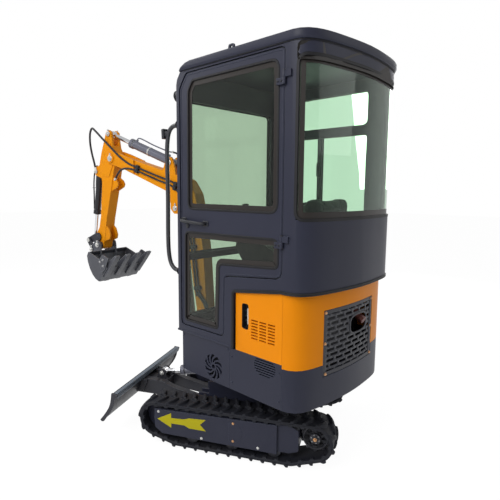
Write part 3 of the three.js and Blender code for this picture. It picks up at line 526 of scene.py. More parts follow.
# Each corner becomes a quadratic curve between the points where a circle of the radius would touch.
def rounded(points, radius, steps=5):
    p = np.asarray(points, float)
    before, after = unit(np.roll(p, 1, 0) - p), unit(np.roll(p, -1, 0) - p)
    half = np.arccos(np.clip((before * after).sum(1), -1, 1)) / 2
    reach = (np.broadcast_to(radius, len(p)) / np.tan(half))[:, None]
    s = np.linspace(0, 1, steps + 1)[None, :, None]
    a, b = (p + before * reach)[:, None], (p + after * reach)[:, None]
    out = ((1 - s)**2 * a + 2 * s * (1 - s) * p[:, None] + s**2 * b).reshape(-1, 2)
    return out[np.linalg.norm(out - np.roll(out, 1, 0), axis=1) > 1e-4]


# A rectangle between two opposite corners, its own corners rounded.
def rect(x0, z0, x1, z1, radius, steps=5):
    return rounded([(x0, z0), (x1, z0), (x1, z1), (x0, z1)], radius, steps)


# Moves every side of the outline inwards by depth.
def inset(points, depth):
    p = np.asarray(points, float)
    along = unit(np.roll(p, -1, 0) - p)
    area = (p[:, 0] * np.roll(p[:, 1], -1) - np.roll(p[:, 0], -1) * p[:, 1]).sum()
    normal = np.stack([-along[:, 1], along[:, 0]], -1) * np.sign(area)
    last = np.roll(normal, 1, 0)
    return p + (normal + last) * (depth / (1 + (normal * last).sum(1)))[:, None]


# Outline in x and z, at y = level.
def onSide(points, level):
    return np.stack([points[:, 0], np.full(len(points), float(level)), points[:, 1]], -1)


# Outline in y and z, at x = level.
def onBack(points, level):
    return np.stack([np.full(len(points), float(level)), points[:, 0], points[:, 1]], -1)


# Outline in x and y, at z = level.
def onTop(points, level):
    return np.stack([points[:, 0], points[:, 1], np.full(len(points), float(level))], -1)


# Rings of the outline: pulled in by the edge at both faces, full size between them.
def plate(outline, low, high, lift=onSide, edge=1.5):
    rings = ((edge, low), (0, low + edge), (0, high - edge), (edge, high))
    return surface(np.stack([lift(inset(outline, d), level) for d, level in rings]))


# A flat ring along the outline: its section runs round the band's width and thickness.
def band(outline, width, low, high, lift=onSide, edge=1.0):
    section = ((0, low), (0, high - edge), (edge, high), (width - edge, high), (width, high - edge),
               (width, low))
    return surface(np.stack([lift(inset(outline, d), level) for d, level in section]), closeRows=True)


# Radius against height, turned about the axis; a hollow one joins its last ring to its first.
def lathe(base, axis, profile, sides=20, hollow=False):
    axis, base = unit(np.asarray(axis, float)), np.asarray(base, float)
    first = unit(np.cross(axis, [0.3, 0.5, 0.8]))
    angles = np.linspace(0, 2 * np.pi, sides, endpoint=False)[:, None]
    ring = np.cos(angles) * first + np.sin(angles) * np.cross(axis, first)
    height, radius = np.asarray(profile, float).T
    return surface(base + height[:, None, None] * axis + radius[:, None, None] * ring[None],
                   closeRows=hollow)


# Each station carries the section: its first number goes outward, its second across the path.
def sweep(path, section, outward=(0, 1, 0), closed=False):
    path, section = np.asarray(path, float), np.asarray(section, float)
    ahead = np.roll(path, -1, 0) - np.roll(path, 1, 0)
    if not closed:
        ahead[0], ahead[-1] = path[1] - path[0], path[-1] - path[-2]
    side = unit(np.cross(unit(ahead), outward))
    out = unit(np.cross(side, ahead))
    grid = path[:, None] + section[None, :, :1] * out[:, None] + section[None, :, 1:] * side[:, None]
    return surface(grid, closeRows=closed)


# Cosine and sine of even angles, times the radius.
def ring(radius, sides=10):
    angles = np.linspace(0, 2 * np.pi, sides, endpoint=False)
    return np.stack([np.cos(angles), np.sin(angles)], -1) * radius


# A ring swept along the curve through the points.
def tube(points, radius, count=40, sides=10, outward=(0, 1, 0)):
    return sweep(curveThrough(points, count), ring(radius, sides), outward)


# A washer, and a six-sided head with a chamfered top.
def bolt(base, axis, size=9.0):
    return [lathe(base, axis, [(-2, size), (size * 0.2, size), (size * 0.24, size * 0.9)], 18),
            lathe(base, axis, [(0, size * 0.74), (size * 0.7, size * 0.74), (size * 0.84, size * 0.58)], 6)]


# The same bolt at every base.
def bolts(bases, axis, size=9.0):
    return [part for base in bases for part in bolt(base, axis, size)]


# A crimped sleeve as rings along the axis, and a six-sided nut past it.
def hoseEnd(base, axis, radius, nut=True):
    sleeve = lathe(base, axis, [(0, radius * 1.1), (2, radius * 1.35), (22, radius * 1.35), (24, radius)],
                   14)
    if not nut:
        return [sleeve]
    end = np.asarray(base, float) + unit(np.asarray(axis, float)) * 24
    return [sleeve, lathe(end, axis, [(0, radius * 1.45), (12, radius * 1.45)], 6)]


# Undercarriage
beltShape = {"sprocket": (-480, 168, 86), "idler": (478, 164, 88), "rear": (-345, 76, 40),
             "front": (345, 76, 40), "thick": 20, "lug": 16, "outer": 446, "width": 180, "links": 36}


# The inner face: for every direction, the furthest point of the four discs; then spread evenly.
def beltLine(s):
    discs = np.array([s[k] for k in ("sprocket", "idler", "rear", "front")], float)
    angles = np.linspace(0, 2 * np.pi, 2880, endpoint=False)
    ways = np.stack([np.cos(angles), np.sin(angles)], -1)
    furthest = np.argmax(ways @ discs[:, :2].T + discs[:, 2], axis=1)
    return spread(discs[furthest, :2] + ways * discs[furthest, 2:], 1440, closed=True)


# A point of the belt: its share of the way round, its place across, and its height off the inner face.
def beltPoint(line, share, y, height):
    ahead = unit(np.roll(line, -3, 0) - np.roll(line, 3, 0))
    table = np.concatenate([line, np.stack([ahead[:, 1], -ahead[:, 0]], -1)], 1)
    table = np.concatenate([table, table[:1]])
    stops = np.linspace(0, 1, len(table))
    share, y, height = np.broadcast_arrays(share, y, height)
    x, z, nx, nz = (np.interp(share % 1, stops, table[:, k]) for k in range(4))
    return np.stack([x + nx * height, y, np.maximum(z + nz * height, 0)], -1)


# The belt carries a rounded section; each row of lugs is a
# bent bar with sloping sides, set half a pitch off.
def makeTrack(s):
    line = beltLine(s)
    length = np.linalg.norm(line - np.roll(line, 1, 0), axis=1).sum()
    inner, outer, thick = s["outer"] - s["width"], s["outer"], s["thick"]
    section = rect(inner, 0, outer, thick, 5, 3)
    share = np.arange(288)[:, None] / 288
    parts = [surface(beltPoint(line, share, section[None, :, 0], section[None, :, 1]), closeRows=True)]
    across = np.linspace(-1, 1, 7)[None, :, None]
    foot = np.array([(-17, thick - 3), (-12, thick + 9), (-7, thick + s["lug"]), (6, thick + s["lug"]),
                     (11, thick + 9), (15, thick - 3)])
    count = s["links"]
    rows = ((inner + 44, 42, 0.0, 1), (outer - 43, 43, 0.5, -1), (inner + 92, 12, 0.28, 1))
    for middle, half, shift, bend in rows:
        lug = np.arange(count)[:, None, None] + shift
        along = foot[None, None, :, 0] * (1 - 0.25 * np.abs(across)) + bend * 16 * across - 9 * across**2
        tall = foot[None, None, :, 1] - 6 * across**2
        grid = beltPoint(line, lug / count + along / length, middle + half * across + 0 * tall,
                         tall + 0 * lug)
        parts += [surface(g) for g in grid]
    guide = np.array([(-13, 2), (-9, -8), (9, -8), (13, 2)])
    lug = np.arange(count)[:, None, None]
    grid = beltPoint(line, lug / count + guide[:, 0] / length, np.array([421, 443])[None, :, None],
                     guide[:, 1])
    return parts + [surface(g) for g in grid]


trackParts = makeTrack(beltShape)
for side, sign in (("Left", 1), ("Right", -1)):
    parts = [(points * [1, sign, 1], quads, ends) for points, quads, ends in trackParts]
    piece("trackBelt" + side, parts, "rubber", "undercarriage", smooth=50,
          replaces=("track_" + side.lower(),))

frameCover = {"outline": [(-271, 69), (440, 77), (487, 112), (489, 227), (-271, 240)],
              "corners": [4, 20, 16, 6, 4],
              "half": (-13, 158, 56), "copper": [(-13, 212), (-13, 104)],
              "plain": [(183, 88), (-162, 88), (462, 214)]}


coverSkin = [plate(rounded(frameCover["outline"], frameCover["corners"]), 434.2, 437.6, edge=1.4)]
x, z, r = frameCover["half"]
arc = np.linspace(math.pi / 2, 1.5 * math.pi, 21)
halfDisc = np.concatenate([np.stack([x + r * np.cos(arc), z + r * np.sin(arc)], -1),
                           [(x + 26, z - r), (x + 26, z + r)]])
coverSkin.append(plate(halfDisc, 437.4, 438.9, edge=0.7))
piece("frameCover", coverSkin, "body", "undercarriage", mirrored=True)
piece("frameCoverBolts", bolts([(x, 438.8, z) for x, z in frameCover["copper"]], (0, 1, 0), 7), "copper",
      "undercarriage", mirrored=True)
piece("frameCoverScrews", bolts([(x, 437.5, z) for x, z in frameCover["plain"]], (0, 1, 0), 8), "zinc",
      "undercarriage", mirrored=True)
arrowOutline = [(470, 167), (378, 215), (378, 184), (293, 189), (262, 200), (155, 206), (192, 171),
                (155, 136), (262, 137), (293, 151), (378, 150), (378, 122)]
for side, sign in (("Left", 1), ("Right", -1)):
    points, quads, ends = plate(np.array(arrowOutline, float), 437.5, 438.1, edge=0.2)
    piece("arrowFilm" + side, [(points * [1, sign, 1], quads, ends)], "decal", "undercarriage")
hubShape = {"bolts": 6, "turn": 15, "circle": 23, "boltFace": 386, "centreFace": 394, "rimFace": 369}
hubAngles = np.radians(np.arange(hubShape["bolts"]) * 360 / hubShape["bolts"] + hubShape["turn"])
hub = beltShape["sprocket"]
piece("sprocketHubBolts", bolts([(hub[0] + hubShape["circle"] * math.cos(a), hubShape["boltFace"],
                                   hub[1] + hubShape["circle"] * math.sin(a)) for a in hubAngles],
                                (0, 1, 0), 4.5),
      "steel", "undercarriage", mirrored=True)
piece("sprocketCentreBolt", bolt((hub[0], hubShape["centreFace"], hub[1]), (0, 1, 0), 11), "copper",
      "undercarriage", mirrored=True)
piece("sprocketRim", [lathe((hub[0], hubShape["rimFace"], hub[1]), (0, 1, 0),
                            [(0, 72), (3, 72), (4, 70), (4, 65), (3, 63), (0, 63)], 48)],
      "dark", "undercarriage", mirrored=True)
idler = beltShape["idler"]
piece("idlerCaps", [lathe((idler[0], 412, idler[1]), (0, 1, 0),
                          [(0, 24), (5, 24), (7, 21), (7, 9), (10, 9), (11, 7)], 24)],
      "steel", "undercarriage", mirrored=True)
rollers = {"x": (-250, 0, 250), "face": 416, "height": 78.3}
piece("rollerCaps", [lathe((x, rollers["face"], rollers["height"]), (0, 1, 0),
                           [(0, 40), (1.5, 40), (2.5, 38), (2.5, 14), (5, 13), (6, 8)], 28)
                     for x in rollers["x"]],
      "dark", "undercarriage", mirrored=True)
print("undercarriage done")

# Blade: a rounded bar along the top, the cutting edge with its bolts, and gussets at the arms
bladeShape = {"reach": 441, "boltSides": (-380, -230, -80, 80, 230, 380), "boltPlace": (849, 121),
              "slope": (0.78, 0, 0.62), "gusset": (107, 117), "arm": (60, 108)}
reach = bladeShape["reach"]
topBar = rect(738, 255, 765.5, 289.5, 7, 4)
piece("bladeTopBar", [plate(topBar, -reach, reach, edge=1.5)], "strip", "blade")
edgeOutline = np.array([(858.4, 104), (863.5, 107.5), (838.5, 137), (833.6, 133.4)])
piece("bladeCuttingEdge", [plate(edgeOutline, -reach, reach, edge=1)], "steel", "blade")
piece("bladeEdgeBolts", bolts([(bladeShape["boltPlace"][0], y, bladeShape["boltPlace"][1])
                               for y in bladeShape["boltSides"]], bladeShape["slope"], 8), "steel", "blade")
gusset = rounded([(748, 158), (790, 152), (768, 200), (752, 256), (712, 244)], [6, 4, 10, 4, 10])
piece("bladeGussets", [plate(gusset, *bladeShape["gusset"], edge=1.2)], "dark", "blade", mirrored=True)
armWeld = rounded([(640, 243), (765, 245), (765, 251), (640, 249.5)], 2, 2)
piece("bladeArmCaps", [plate(armWeld, *bladeShape["arm"], edge=1)], "dark", "blade", mirrored=True)


# A pin's end with its washer.
def pinHead(p, y, radius, tall=1.0):
    return [lathe((p[0], y, p[1]), (0, tall, 0),
                  [(-1, radius + 5), (3 * tall, radius + 5), (4 * tall, radius + 3), (4 * tall, radius - 1),
                                                   (9 * tall, radius - 1), (11 * tall, radius - 3)], 24)]


bladePins = [((300, 140), 124, 14), ((640, 276), 44, 11), ((272, 336), 46, 11)]
piece("bladePinHeads", pinHead(*bladePins[0]), "zinc", "blade", mirrored=True)
piece("bladeRodPinHeads", pinHead(*bladePins[1]), "zinc", "blade", mirrored=True)
piece("bladeBasePinHeads", pinHead(*bladePins[2]), "zinc", "undercarriage", mirrored=True)
print("blade done")

# Plans of the curved back, from the left side round to the middle
cabSide, bodySide = 440, 430
cabCorner = [(-640, 440), (-684, 428), (-714, 398), (-736, 350), (-752, 280), (-764, 190), (-774, 90),
             (-778, 0)]
bodyCorner = [(-600, 430), (-648, 418), (-680, 388), (-702, 335), (-716, 260), (-726, 170), (-733, 80),
              (-735, 0)]


# The plan from the front left, along the side, round the back and forward on the right.
def backPlan(corner, front, side):
    half = curveThrough(corner, 15)
    left = np.concatenate([[(front, side)], half])
    return np.concatenate([left, (left * [1, -1])[::-1][1:]])


# Lays (distance from the middle of the back, height) on
# the plan, level millimetres outside it; + is left.
def makeWrap(plan):
    reach = np.concatenate([[0], np.cumsum(np.linalg.norm(np.diff(plan, axis=0), axis=1))])
    reach = reach[len(reach) // 2] - reach
    ahead = unit(np.gradient(plan, axis=0))
    normal = np.stack([ahead[:, 1], -ahead[:, 0]], -1)
    table = np.concatenate([plan, unit(normal)], 1)[::-1]

    def wrap(points, level):
        x, y, nx, ny = (np.interp(points[:, 0], reach[::-1], table[:, k]) for k in range(4))
        sign = -1 if normal[len(normal) // 2][0] > 0 else 1
        return np.stack([x + sign * nx * level, y + sign * ny * level, points[:, 1]], -1)
    return wrap, reach[0]


cabPlan, bodyPlan = backPlan(cabCorner, 223, cabSide), backPlan(bodyCorner, 190, bodySide)
aroundCab, cabReach = makeWrap(cabPlan)
aroundBody, _ = makeWrap(bodyPlan)


wrapStep = 18  # fine enough to follow the curved back


# The same outline with its points set evenly, about the wrap step apart.
def fine(points):
    points = np.asarray(points, float)
    return spread(points, int(np.linalg.norm(points - np.roll(points, 1, 0), axis=1).sum() / wrapStep),
                  closed=True)


# Rubber lip along the cab's lower edge, round the back and down the step at both sides
lipSection = rounded([(-1, -8), (5, -8), (6, -3), (3.5, 0), (6, 3), (5, 8), (-1, 8)], 1.2, 2)
lipShape = {"step": -268, "low": 694, "high": 1054, "kink": -595, "slope": 0.136, "front": 223,
            "corner": 640, "turn": -620, "points": (24, 30, 46)}


# Level at the back; forward of the kink it falls with the slope.
def lipHeight(x):
    return lipShape["high"] - np.maximum(0, x - lipShape["kink"]) * lipShape["slope"]


downCount, alongCount, backCount = lipShape["points"]
stepX = lipShape["step"]
sideLine = np.stack([np.full(downCount, stepX + 4.0), np.full(downCount, 440.0),
                     np.linspace(lipShape["low"], float(lipHeight(stepX)) - 10, downCount)], -1)
along = np.linspace(stepX - 8, lipShape["turn"], alongCount)
topLine = np.stack([along, np.full(alongCount, 440.0), lipHeight(along)], -1)
arcs = np.linspace(cabReach - (lipShape["front"] + lipShape["corner"]), 0, backCount)
backLine = aroundCab(np.stack([arcs, np.full(backCount, float(lipShape["high"]))], -1), 0)
lipLine = np.concatenate([sideLine, topLine, backLine])
level = np.stack([arcs, np.full(backCount, 1.0)], -1)
lipOut = np.concatenate([np.tile([0, 1, 0], (downCount + alongCount, 1)),
                         unit(aroundCab(level, 1) - aroundCab(level, 0))])
fullLip = np.concatenate([lipLine, (lipLine * [1, -1, 1])[::-1][1:]])
fullOut = np.concatenate([lipOut, (lipOut * [1, -1, 1])[::-1][1:]])
piece("cabLip", [sweep(fullLip, lipSection, fullOut)], "seal", "house", smooth=60)
print("lip done")

# Door: seal round the leaf, window rubbers and dark borders, all riding on the door
doorEdge = rounded([(178, 738), (178, 2120), (118, 2196), (-594, 2196), (-594, 1122), (-194, 1084),
                    (-188, 742)],
                   [26, 50, 30, 24, 40, 30, 26])
doorPanes = {"Upper": rounded([(112, 1438), (108, 2100), (70, 2152), (-556, 2152), (-560, 1438)],
                              [40, 60, 30, 50, 50]),
             "Lower": rounded([(146, 768), (140, 1300), (-566, 1308), (-568, 1168), (-150, 1142),
                               (-138, 772)],
                              [20, 30, 40, 30, 30, 20])}
# Each trim: how far inside its outline, width, inner and outer level, edge
doorTrim = {"seal": (-3.4, 4.4, 405, 434, 1), "fold": (5, 7, 435.6, 437.4, 0.8),
            "rubber": (-7, 12, 427, 439, 2.2), "border": (4, 27, 430.2, 430.8, 0.2)}


# A flat ring laid on the side, its depth inside the outline and its sizes from the row.
def trim(outline, row):
    depth, width, low, high, edge = row
    return [band(inset(outline, depth), width, low, high, edge=edge)]


piece("doorSeal", trim(doorEdge, doorTrim["seal"]), "seal", "door")
piece("doorFold", trim(doorEdge, doorTrim["fold"]), "body", "door")
for label, outline in doorPanes.items():
    piece("paneRubber" + label, trim(outline, doorTrim["rubber"]), "seal", "door")
    piece("paneBorder" + label, trim(outline, doorTrim["border"]), "border", "door")
piece("windowCatch", [plate(rect(-548, 2082, -512, 2142, 5), 405, 423, edge=3)], "black", "door")
piece("handlePlates", [plate(rect(x - 24, z - 15, x + 24, z + 15, 8), 435.8, 441, edge=2)
                       for x, z in ((150, 1370), (-40, 1358))] +
      [lathe((118, 436, 1338), (0, 1, 0), [(0, 13), (5, 13), (7, 10), (7, 4)], 20)], "black", "door")
piece("doorHandleGrip", [tube([(150, 437, 1370), (150, 457, 1370), (136, 466, 1369), (60, 468, 1364),
                               (-28, 464, 1359),
                               (-40, 455, 1358), (-40, 437, 1358)], 9, 50, 14, (0, 0, 1))], "black", "door",
      replaces=("door_handle",))
hingeHeights = (1300, 2060)
piece("hingeCaps", [lathe((-600, 449, z + 30), (0, 0, 1), [(-0.5, 9.2), (2, 9.2), (4, 6.5)], 20)
                    for z in hingeHeights], "black", "house")
piece("hingeBolts", bolts([(x, 452, z - 16) for z in hingeHeights for x in (-564, -584)], (0, 1, 0), 5.5),
      "black", "door")
print("door done")

# Cab glass at the back and on the right, and the roof's seam
glassHalf = cabReach - (223 + 668)
rearOutline = fine(rounded([(glassHalf, 1410), (glassHalf, 2150), (-glassHalf, 2150), (-glassHalf, 1410)],
                           42))
piece("rearPaneBorder", [band(inset(rearOutline, 2), 34, -8.6, -7.9, aroundCab, edge=0.2)], "border",
      "house")
piece("rearPaneRubber", [band(inset(rearOutline, -9), 15, -9, 1.8, aroundCab, edge=1.6)], "seal", "house")
fritHalf = glassHalf + 6
frit = fine(rounded([(fritHalf, 2126), (fritHalf, 2208), (-fritHalf, 2208), (-fritHalf, 2126)],
                    [4, 26, 26, 4]))
piece("rearPaneFrit", [plate(frit, 0.2, 2.4, aroundCab, edge=0.6)], "border", "house")
rightPanes = {"Upper": rounded([(110, 1940), (100, 2110), (60, 2150), (-560, 2150), (-560, 1940)],
                               [30, 40, 20, 40, 40]),
              "Lower": rounded([(120, 1330), (120, 1895), (-560, 1895), (-560, 1330)], [50, 30, 30, 50])}
for label, outline in rightPanes.items():
    piece("rightPaneRubber" + label,
          [band(inset(outline, -7), 14, -441.5, -428.5, edge=1.6),
           band(inset(outline, -7), 14, -421.5, -404, edge=1.6)],
          "seal", "house")
piece("slidingStile", [plate(rect(-232, 1322, -200, 1903, 3), low, high, edge=1.5)
                       for low, high in ((-437, -428.6), (-421.4, -410))], "black", "house")
piece("slidingCatch", [plate(rect(-228, 1640, -204, 1730, 8), -410, -392, edge=4)], "black", "house")
shields = {"Upper": [(-385, 1160), (385, 1160), (385, 2066), (-385, 2066)],
           "Lower": [(-385, 770), (385, 770), (385, 1120), (-385, 1120)]}
for label, outline in shields.items():
    piece("shieldRubber" + label, [band(inset(rounded(outline, 36), -7), 14, 211.5, 225, onBack, edge=1.6)],
          "seal", "house")
piece("roofSeam", [sweep(onTop(curveThrough(np.concatenate([[(140, 440)], cabPlan[1:-1], [(140, -440)]]),
                                            160), 2213.2),
                         rect(-2, -2.4, 2.2, 2.4, 1, 2), (0, 0, 1))], "seal", "house")
print("glass trim done")

# Grab rail with its flanges, and a small lamp on it
railShape = {"side": 412, "face": 223.4, "low": 1054, "high": 1926, "radius": 13.2, "boltSpread": 19}
lampShape = {"middle": (256, 382, 2096.8), "lens": (262, 382, 2096), "way": (0.991, 0, -0.132)}
railLine = [(224, 412, 1926), (252, 412, 1926), (282, 415, 1920), (306, 420, 1896), (324, 422, 1830),
            (326, 422, 1500),
            (324, 422, 1160), (304, 420, 1090), (278, 415, 1062), (250, 412, 1054), (224, 412, 1054)]
piece("grabRailTube", [tube(railLine, railShape["radius"], 110, 18)] +
      [lathe((railShape["face"], railShape["side"], z), (1, 0, 0), [(0, 26), (3, 26), (5, 23), (5, 14)], 24)
       for z in (railShape["high"], railShape["low"])], "rail", "house", replaces=("grab_rail",))
piece("grabRailBolts", bolts([(227, railShape["side"] + y, z) for z in (railShape["high"], railShape["low"])
                               for y in (-railShape["boltSpread"], railShape["boltSpread"])], (1, 0, 0),
                             4.5), "zinc", "house")
piece("railLampBody", [plate(rounded([(330, 1856), (352, 1850), (356, 1910), (334, 1912)], 4), 396, 446,
                             edge=3),
                       lathe((326, 422, 1866), (0, 0, 1), [(0, 16), (2, 17), (28, 17), (30, 16)], 20)],
      "black", "house")
piece("railLampLens", [plate(rect(402, 1858, 440, 1904, 4), 355.2, 358.5, onBack, edge=1)], "lens", "house")
piece("workLampLens", [lathe(lampShape["lens"], lampShape["way"], [(0, 30), (2, 30), (5, 24), (6, 10)],
                             28)], "lens", "house")
piece("workLampRim", [lathe(lampShape["middle"], lampShape["way"],
                            [(0, 34.5), (0, 37), (8, 37), (9, 35), (9, 30.5)], 28)], "black", "house")
print("rail and lamps done")

# Side panels: recess with a level gauge, vent backings, screws
recess = rounded([(-370, 811), (-322, 816), (-322, 953), (-370, 953)], [14, 14, 14, 14])
piece("gaugeRecess", [band(inset(recess, -6), 7.5, 396, 429.2, edge=0.5),
                      plate(inset(recess, -6), 394, 397, edge=0.5)], "black", "house", mirrored=True)
piece("gaugeTube", [lathe((-352, 410, 838), (0, 0, 1), [(0, 5), (2, 6.5), (84, 6.5), (86, 5)], 14),
                    lathe((-352, 398, 846), (0, 1, 0), [(0, 9), (10, 9)], 12),
                    lathe((-352, 398, 914), (0, 1, 0), [(0, 9), (10, 9)], 12)],
      "dial", "house", mirrored=True)
piece("gaugeFittings", [lathe((-336, 398, z), (0, 1, 0), [(0, 7), (12, 7), (14, 5)], 6)
                        for z in (856, 882, 908)], "black", "house", mirrored=True)
piece("fanBlades", [lathe((-95, 402, 535), (0, 1, 0), [(0, 76), (3, 76)], 40),
                    lathe((-95, 405, 535), (0, 1, 0), [(0, 26), (8, 24), (10, 12)], 24)],
      "black", "house", mirrored=True)
piece("ventBackings", [plate(rect(-570, 578, -404, 704, 8), 406, 409, edge=1)], "black", "house",
      mirrored=True)
piece("ventBaffles", [plate(rect(-566, 758, -378, 894, 8), 402, 405, edge=1)], "black", "house",
      mirrored=True)
panelScrews = [(-247, 636), (-247, 488), (-213, 668), (172, 668), (172, 470), (-582, 488), (-582, 636)]
piece("panelScrews", bolts([(x, 430, z) for x, z in panelScrews], (0, 1, 0), 6), "body", "house",
      mirrored=True)
piece("sillTrim", [sweep(np.stack([np.linspace(-258, 216, 40), np.full(40, 440.0), np.full(40, 695.0)], -1),
                         rect(-1, -6, 2.6, 6, 1.5, 2), (0, 1, 0))], "body", "house", mirrored=True)
print("panels done")

# Grille: a sheet with staggered slots and a rounded exhaust opening, bent round the back
grille = {"half": 244, "low": 601, "high": 949, "column": 15.0, "row": 13.4, "hole": (-80, 826, 92, 54)}


# Cells of a grid laid on the back; a cell is left out where a slot or the exhaust opening falls.
def makeGrille(s):
    columns, rows = int(2 * s["half"] / s["column"]), int((s["high"] - s["low"]) / s["row"])
    u = np.linspace(-s["half"], s["half"], columns + 1)
    v = np.linspace(s["low"], s["high"], rows + 1)
    i, j = np.meshgrid(np.arange(rows), np.arange(columns), indexing="ij")
    mid = np.stack([(u[j] + u[j + 1]) / 2, (v[i] + v[i + 1]) / 2], -1)
    x, z, wide, tall = s["hole"]
    oval = (np.abs(mid[..., 0] - x) / wide)**3 + (np.abs(mid[..., 1] - z) / tall)**3
    staggered = (i % 2 == 1) & ((j + 2 * (i // 2 % 2)) % 5 != 0)
    slot = staggered & (i > 0) & (i < rows - 1) & (j > 1) & (j < columns - 2)
    keep = ~((slot & (oval > 1.5)) | (oval < 1.0))
    grid = aroundBody(np.stack(np.meshgrid(u, v), -1).reshape(-1, 2), -4.0)
    corner = (i * (columns + 1) + j)[keep]
    return grid, np.stack([corner, corner + 1, corner + columns + 2, corner + columns + 1], -1), []


piece("grilleSheet", [makeGrille(grille)], "dark", "house", solid=2.2, replaces=("rear_grille",))
grilleOutline = fine(rect(-243, 602, 243, 948, 4))
piece("grilleFrame", [band(grilleOutline, 20, -7, -1.2, aroundBody, edge=1)], "dark", "house")
x, z, wide, tall = grille["hole"]
turnAngles = np.linspace(0, 2 * np.pi, 60, endpoint=False)
oval = np.stack([x + wide * 1.06 * np.sign(np.cos(turnAngles)) * np.abs(np.cos(turnAngles))**0.66,
                 z + tall * 1.06 * np.sign(np.sin(turnAngles)) * np.abs(np.sin(turnAngles))**0.66], -1)
piece("exhaustSurround", [band(oval, 10, -7.5, -1.5, aroundBody, edge=1)], "dark", "house")
grilleBolts = aroundBody(np.array([(232, 936), (-232, 936), (232, 775), (-232, 775), (224, 612),
                                   (-232, 612)], float), -1)
piece("grilleBolts", bolts(grilleBolts, (-0.95, 0, 0), 8), "copper", "house")
print("grille done")

# Seat: padded, blown up as cloth
seatShape = {"rows": 9, "bow": 10, "voxel": 0.006, "pressure": 4.0, "cap": 0.017, "frames": 20,
             "seam": 0.0035}


# Rings of the outline from face to face, pulled in towards both faces by a fourth power.
def pillow(outline, low, high, lift):
    t = np.linspace(-1, 1, seatShape["rows"])
    return surface(np.stack([lift(inset(outline, 4 + seatShape["bow"] * v**4),
                                  low + (high - low) * (v + 1) / 2) for v in t]))


# Outline in y and z, leaning back as it rises.
def leaning(points, level):
    z = points[:, 1]
    return np.stack([-510 - (z - 1184) * 0.152 + level, points[:, 0], z], -1)


# Cloth pressure on an evenly remeshed copy, its travel capped; then seams pressed in along their planes.
def inflate(obj, s, channels):
    remesh = obj.modifiers.new("remesh", "REMESH")
    remesh.mode, remesh.voxel_size = "VOXEL", s["voxel"]
    graph = bpy.context.evaluated_depsgraph_get()
    mesh = bpy.data.meshes.new_from_object(obj.evaluated_get(graph), depsgraph=graph)
    obj.modifiers.clear()
    material = obj.data.materials[0]
    obj.data = mesh
    mesh.materials.clear()
    mesh.materials.append(material)
    rest = np.zeros(len(mesh.vertices) * 3)
    mesh.vertices.foreach_get("co", rest)
    rest = rest.reshape(-1, 3)
    points = rest
    cloth = obj.modifiers.new("pressure", "CLOTH")
    cloth.settings.use_pressure, cloth.settings.uniform_pressure_force = True, s["pressure"]
    cloth.settings.effector_weights.gravity = 0
    cloth.settings.quality = 5
    cloth.collision_settings.use_collision = False
    for step in range(1, s["frames"] + 1):
        scene.frame_set(step)
    graph = bpy.context.evaluated_depsgraph_get()
    blown = np.zeros(len(mesh.vertices) * 3)
    obj.evaluated_get(graph).data.vertices.foreach_get("co", blown)
    obj.modifiers.clear()
    scene.frame_set(1)
    travel = blown.reshape(-1, 3) - rest
    far = np.linalg.norm(travel, axis=1, keepdims=True)
    points = rest + travel * np.minimum(1, s["cap"] / np.maximum(far, 1e-9))
    mesh.vertices.foreach_set("co", points.ravel())
    mesh.update()
    normal = np.zeros(len(mesh.vertices) * 3)
    mesh.vertex_normals.foreach_get("vector", normal)
    local = (points - places["house"][1]) * 1000
    depth = sum(np.exp(-((local @ np.array(way) - at) / 5.0)**2) for way, at in channels)
    points = points - normal.reshape(-1, 3) * np.minimum(depth, 1)[:, None] * s["seam"]
    mesh.vertices.foreach_set("co", points.ravel())
    mesh.update()
    mesh.shade_smooth()
    smooth = obj.modifiers.new("smooth", "SUBSURF")
    smooth.levels = smooth.render_levels = 1
    return obj


seatOutline = fine(rect(-556, -200, -164, 200, [40, 60, 60, 40], 6))
backOutline = fine(rounded([(-194, 1192), (194, 1192), (178, 1512), (-178, 1512)], [30, 30, 60, 60], 6))
# Seams pressed in: the way across each and its place along it
seams = {"seat": [((0, 1, 0), -118), ((0, 1, 0), 118), ((0, 0, 1), 1141), ((1, 0, 0), -300),
                  ((1, 0, 0), -430)],
         "back": [((0, 1, 0), -112), ((0, 1, 0), 112), ((0, 0, 1), 1290), ((0, 0, 1), 1400)]}
seat = piece("seatPad", [pillow(seatOutline, 1114, 1172, onTop)], "cushion", "house",
             replaces=("seat_cushion",))
inflate(seat, seatShape, seams["seat"])
back = piece("seatBackPad", [pillow(backOutline, -34, 34, leaning)], "cushion", "house",
             replaces=("seat_back",))
inflate(back, seatShape, seams["back"])
print("seat done")

# Cab floor and controls
piece("floorMat", [plate(rect(-200, -350, 176, 350, 20), 712.4, 716.5, onTop, edge=1.5)], "mat", "house")
bellows = [(0, 36), (4, 38), (8, 30), (14, 34), (20, 27), (26, 30), (32, 23), (38, 26), (44, 19), (50, 20),
           (56, 12)]
piece("joystickBoots", [lathe((-230, 290, 1292), (0.07, 0, 1), bellows, 24)], "seal", "house",
      mirrored=True)
piece("joystickGrips", [lathe((-219, 290, 1398), (0.12, 0, 1),
                              [(0, 11), (6, 20), (30, 23), (55, 21), (68, 17), (75, 8)], 24)],
      "black", "house", mirrored=True)
piece("joystickButtons", [lathe((-200, y, 1452), (0.9, 0, 0.4), [(0, 5), (6, 5), (8, 3)], 14)
                          for y in (284, 297)], "copper", "house", mirrored=True)
piece("leverBoots", [lathe((96, 60, 733), (0.03, 0, 1), bellows, 24)], "seal", "house", mirrored=True)
piece("leverKnobs", [lathe((62, 60, 1030), (-0.29, 0, 0.96),
                           [(-2, 10), (4, 19), (34, 20), (58, 17), (66, 8)], 22)], "black", "house",
      mirrored=True)
piece("pedals", [plate(rect(20, y - 34, 118, y + 34, 8), 742, 748, onTop, edge=2) for y in (-190, 190)],
      "dark", "house")
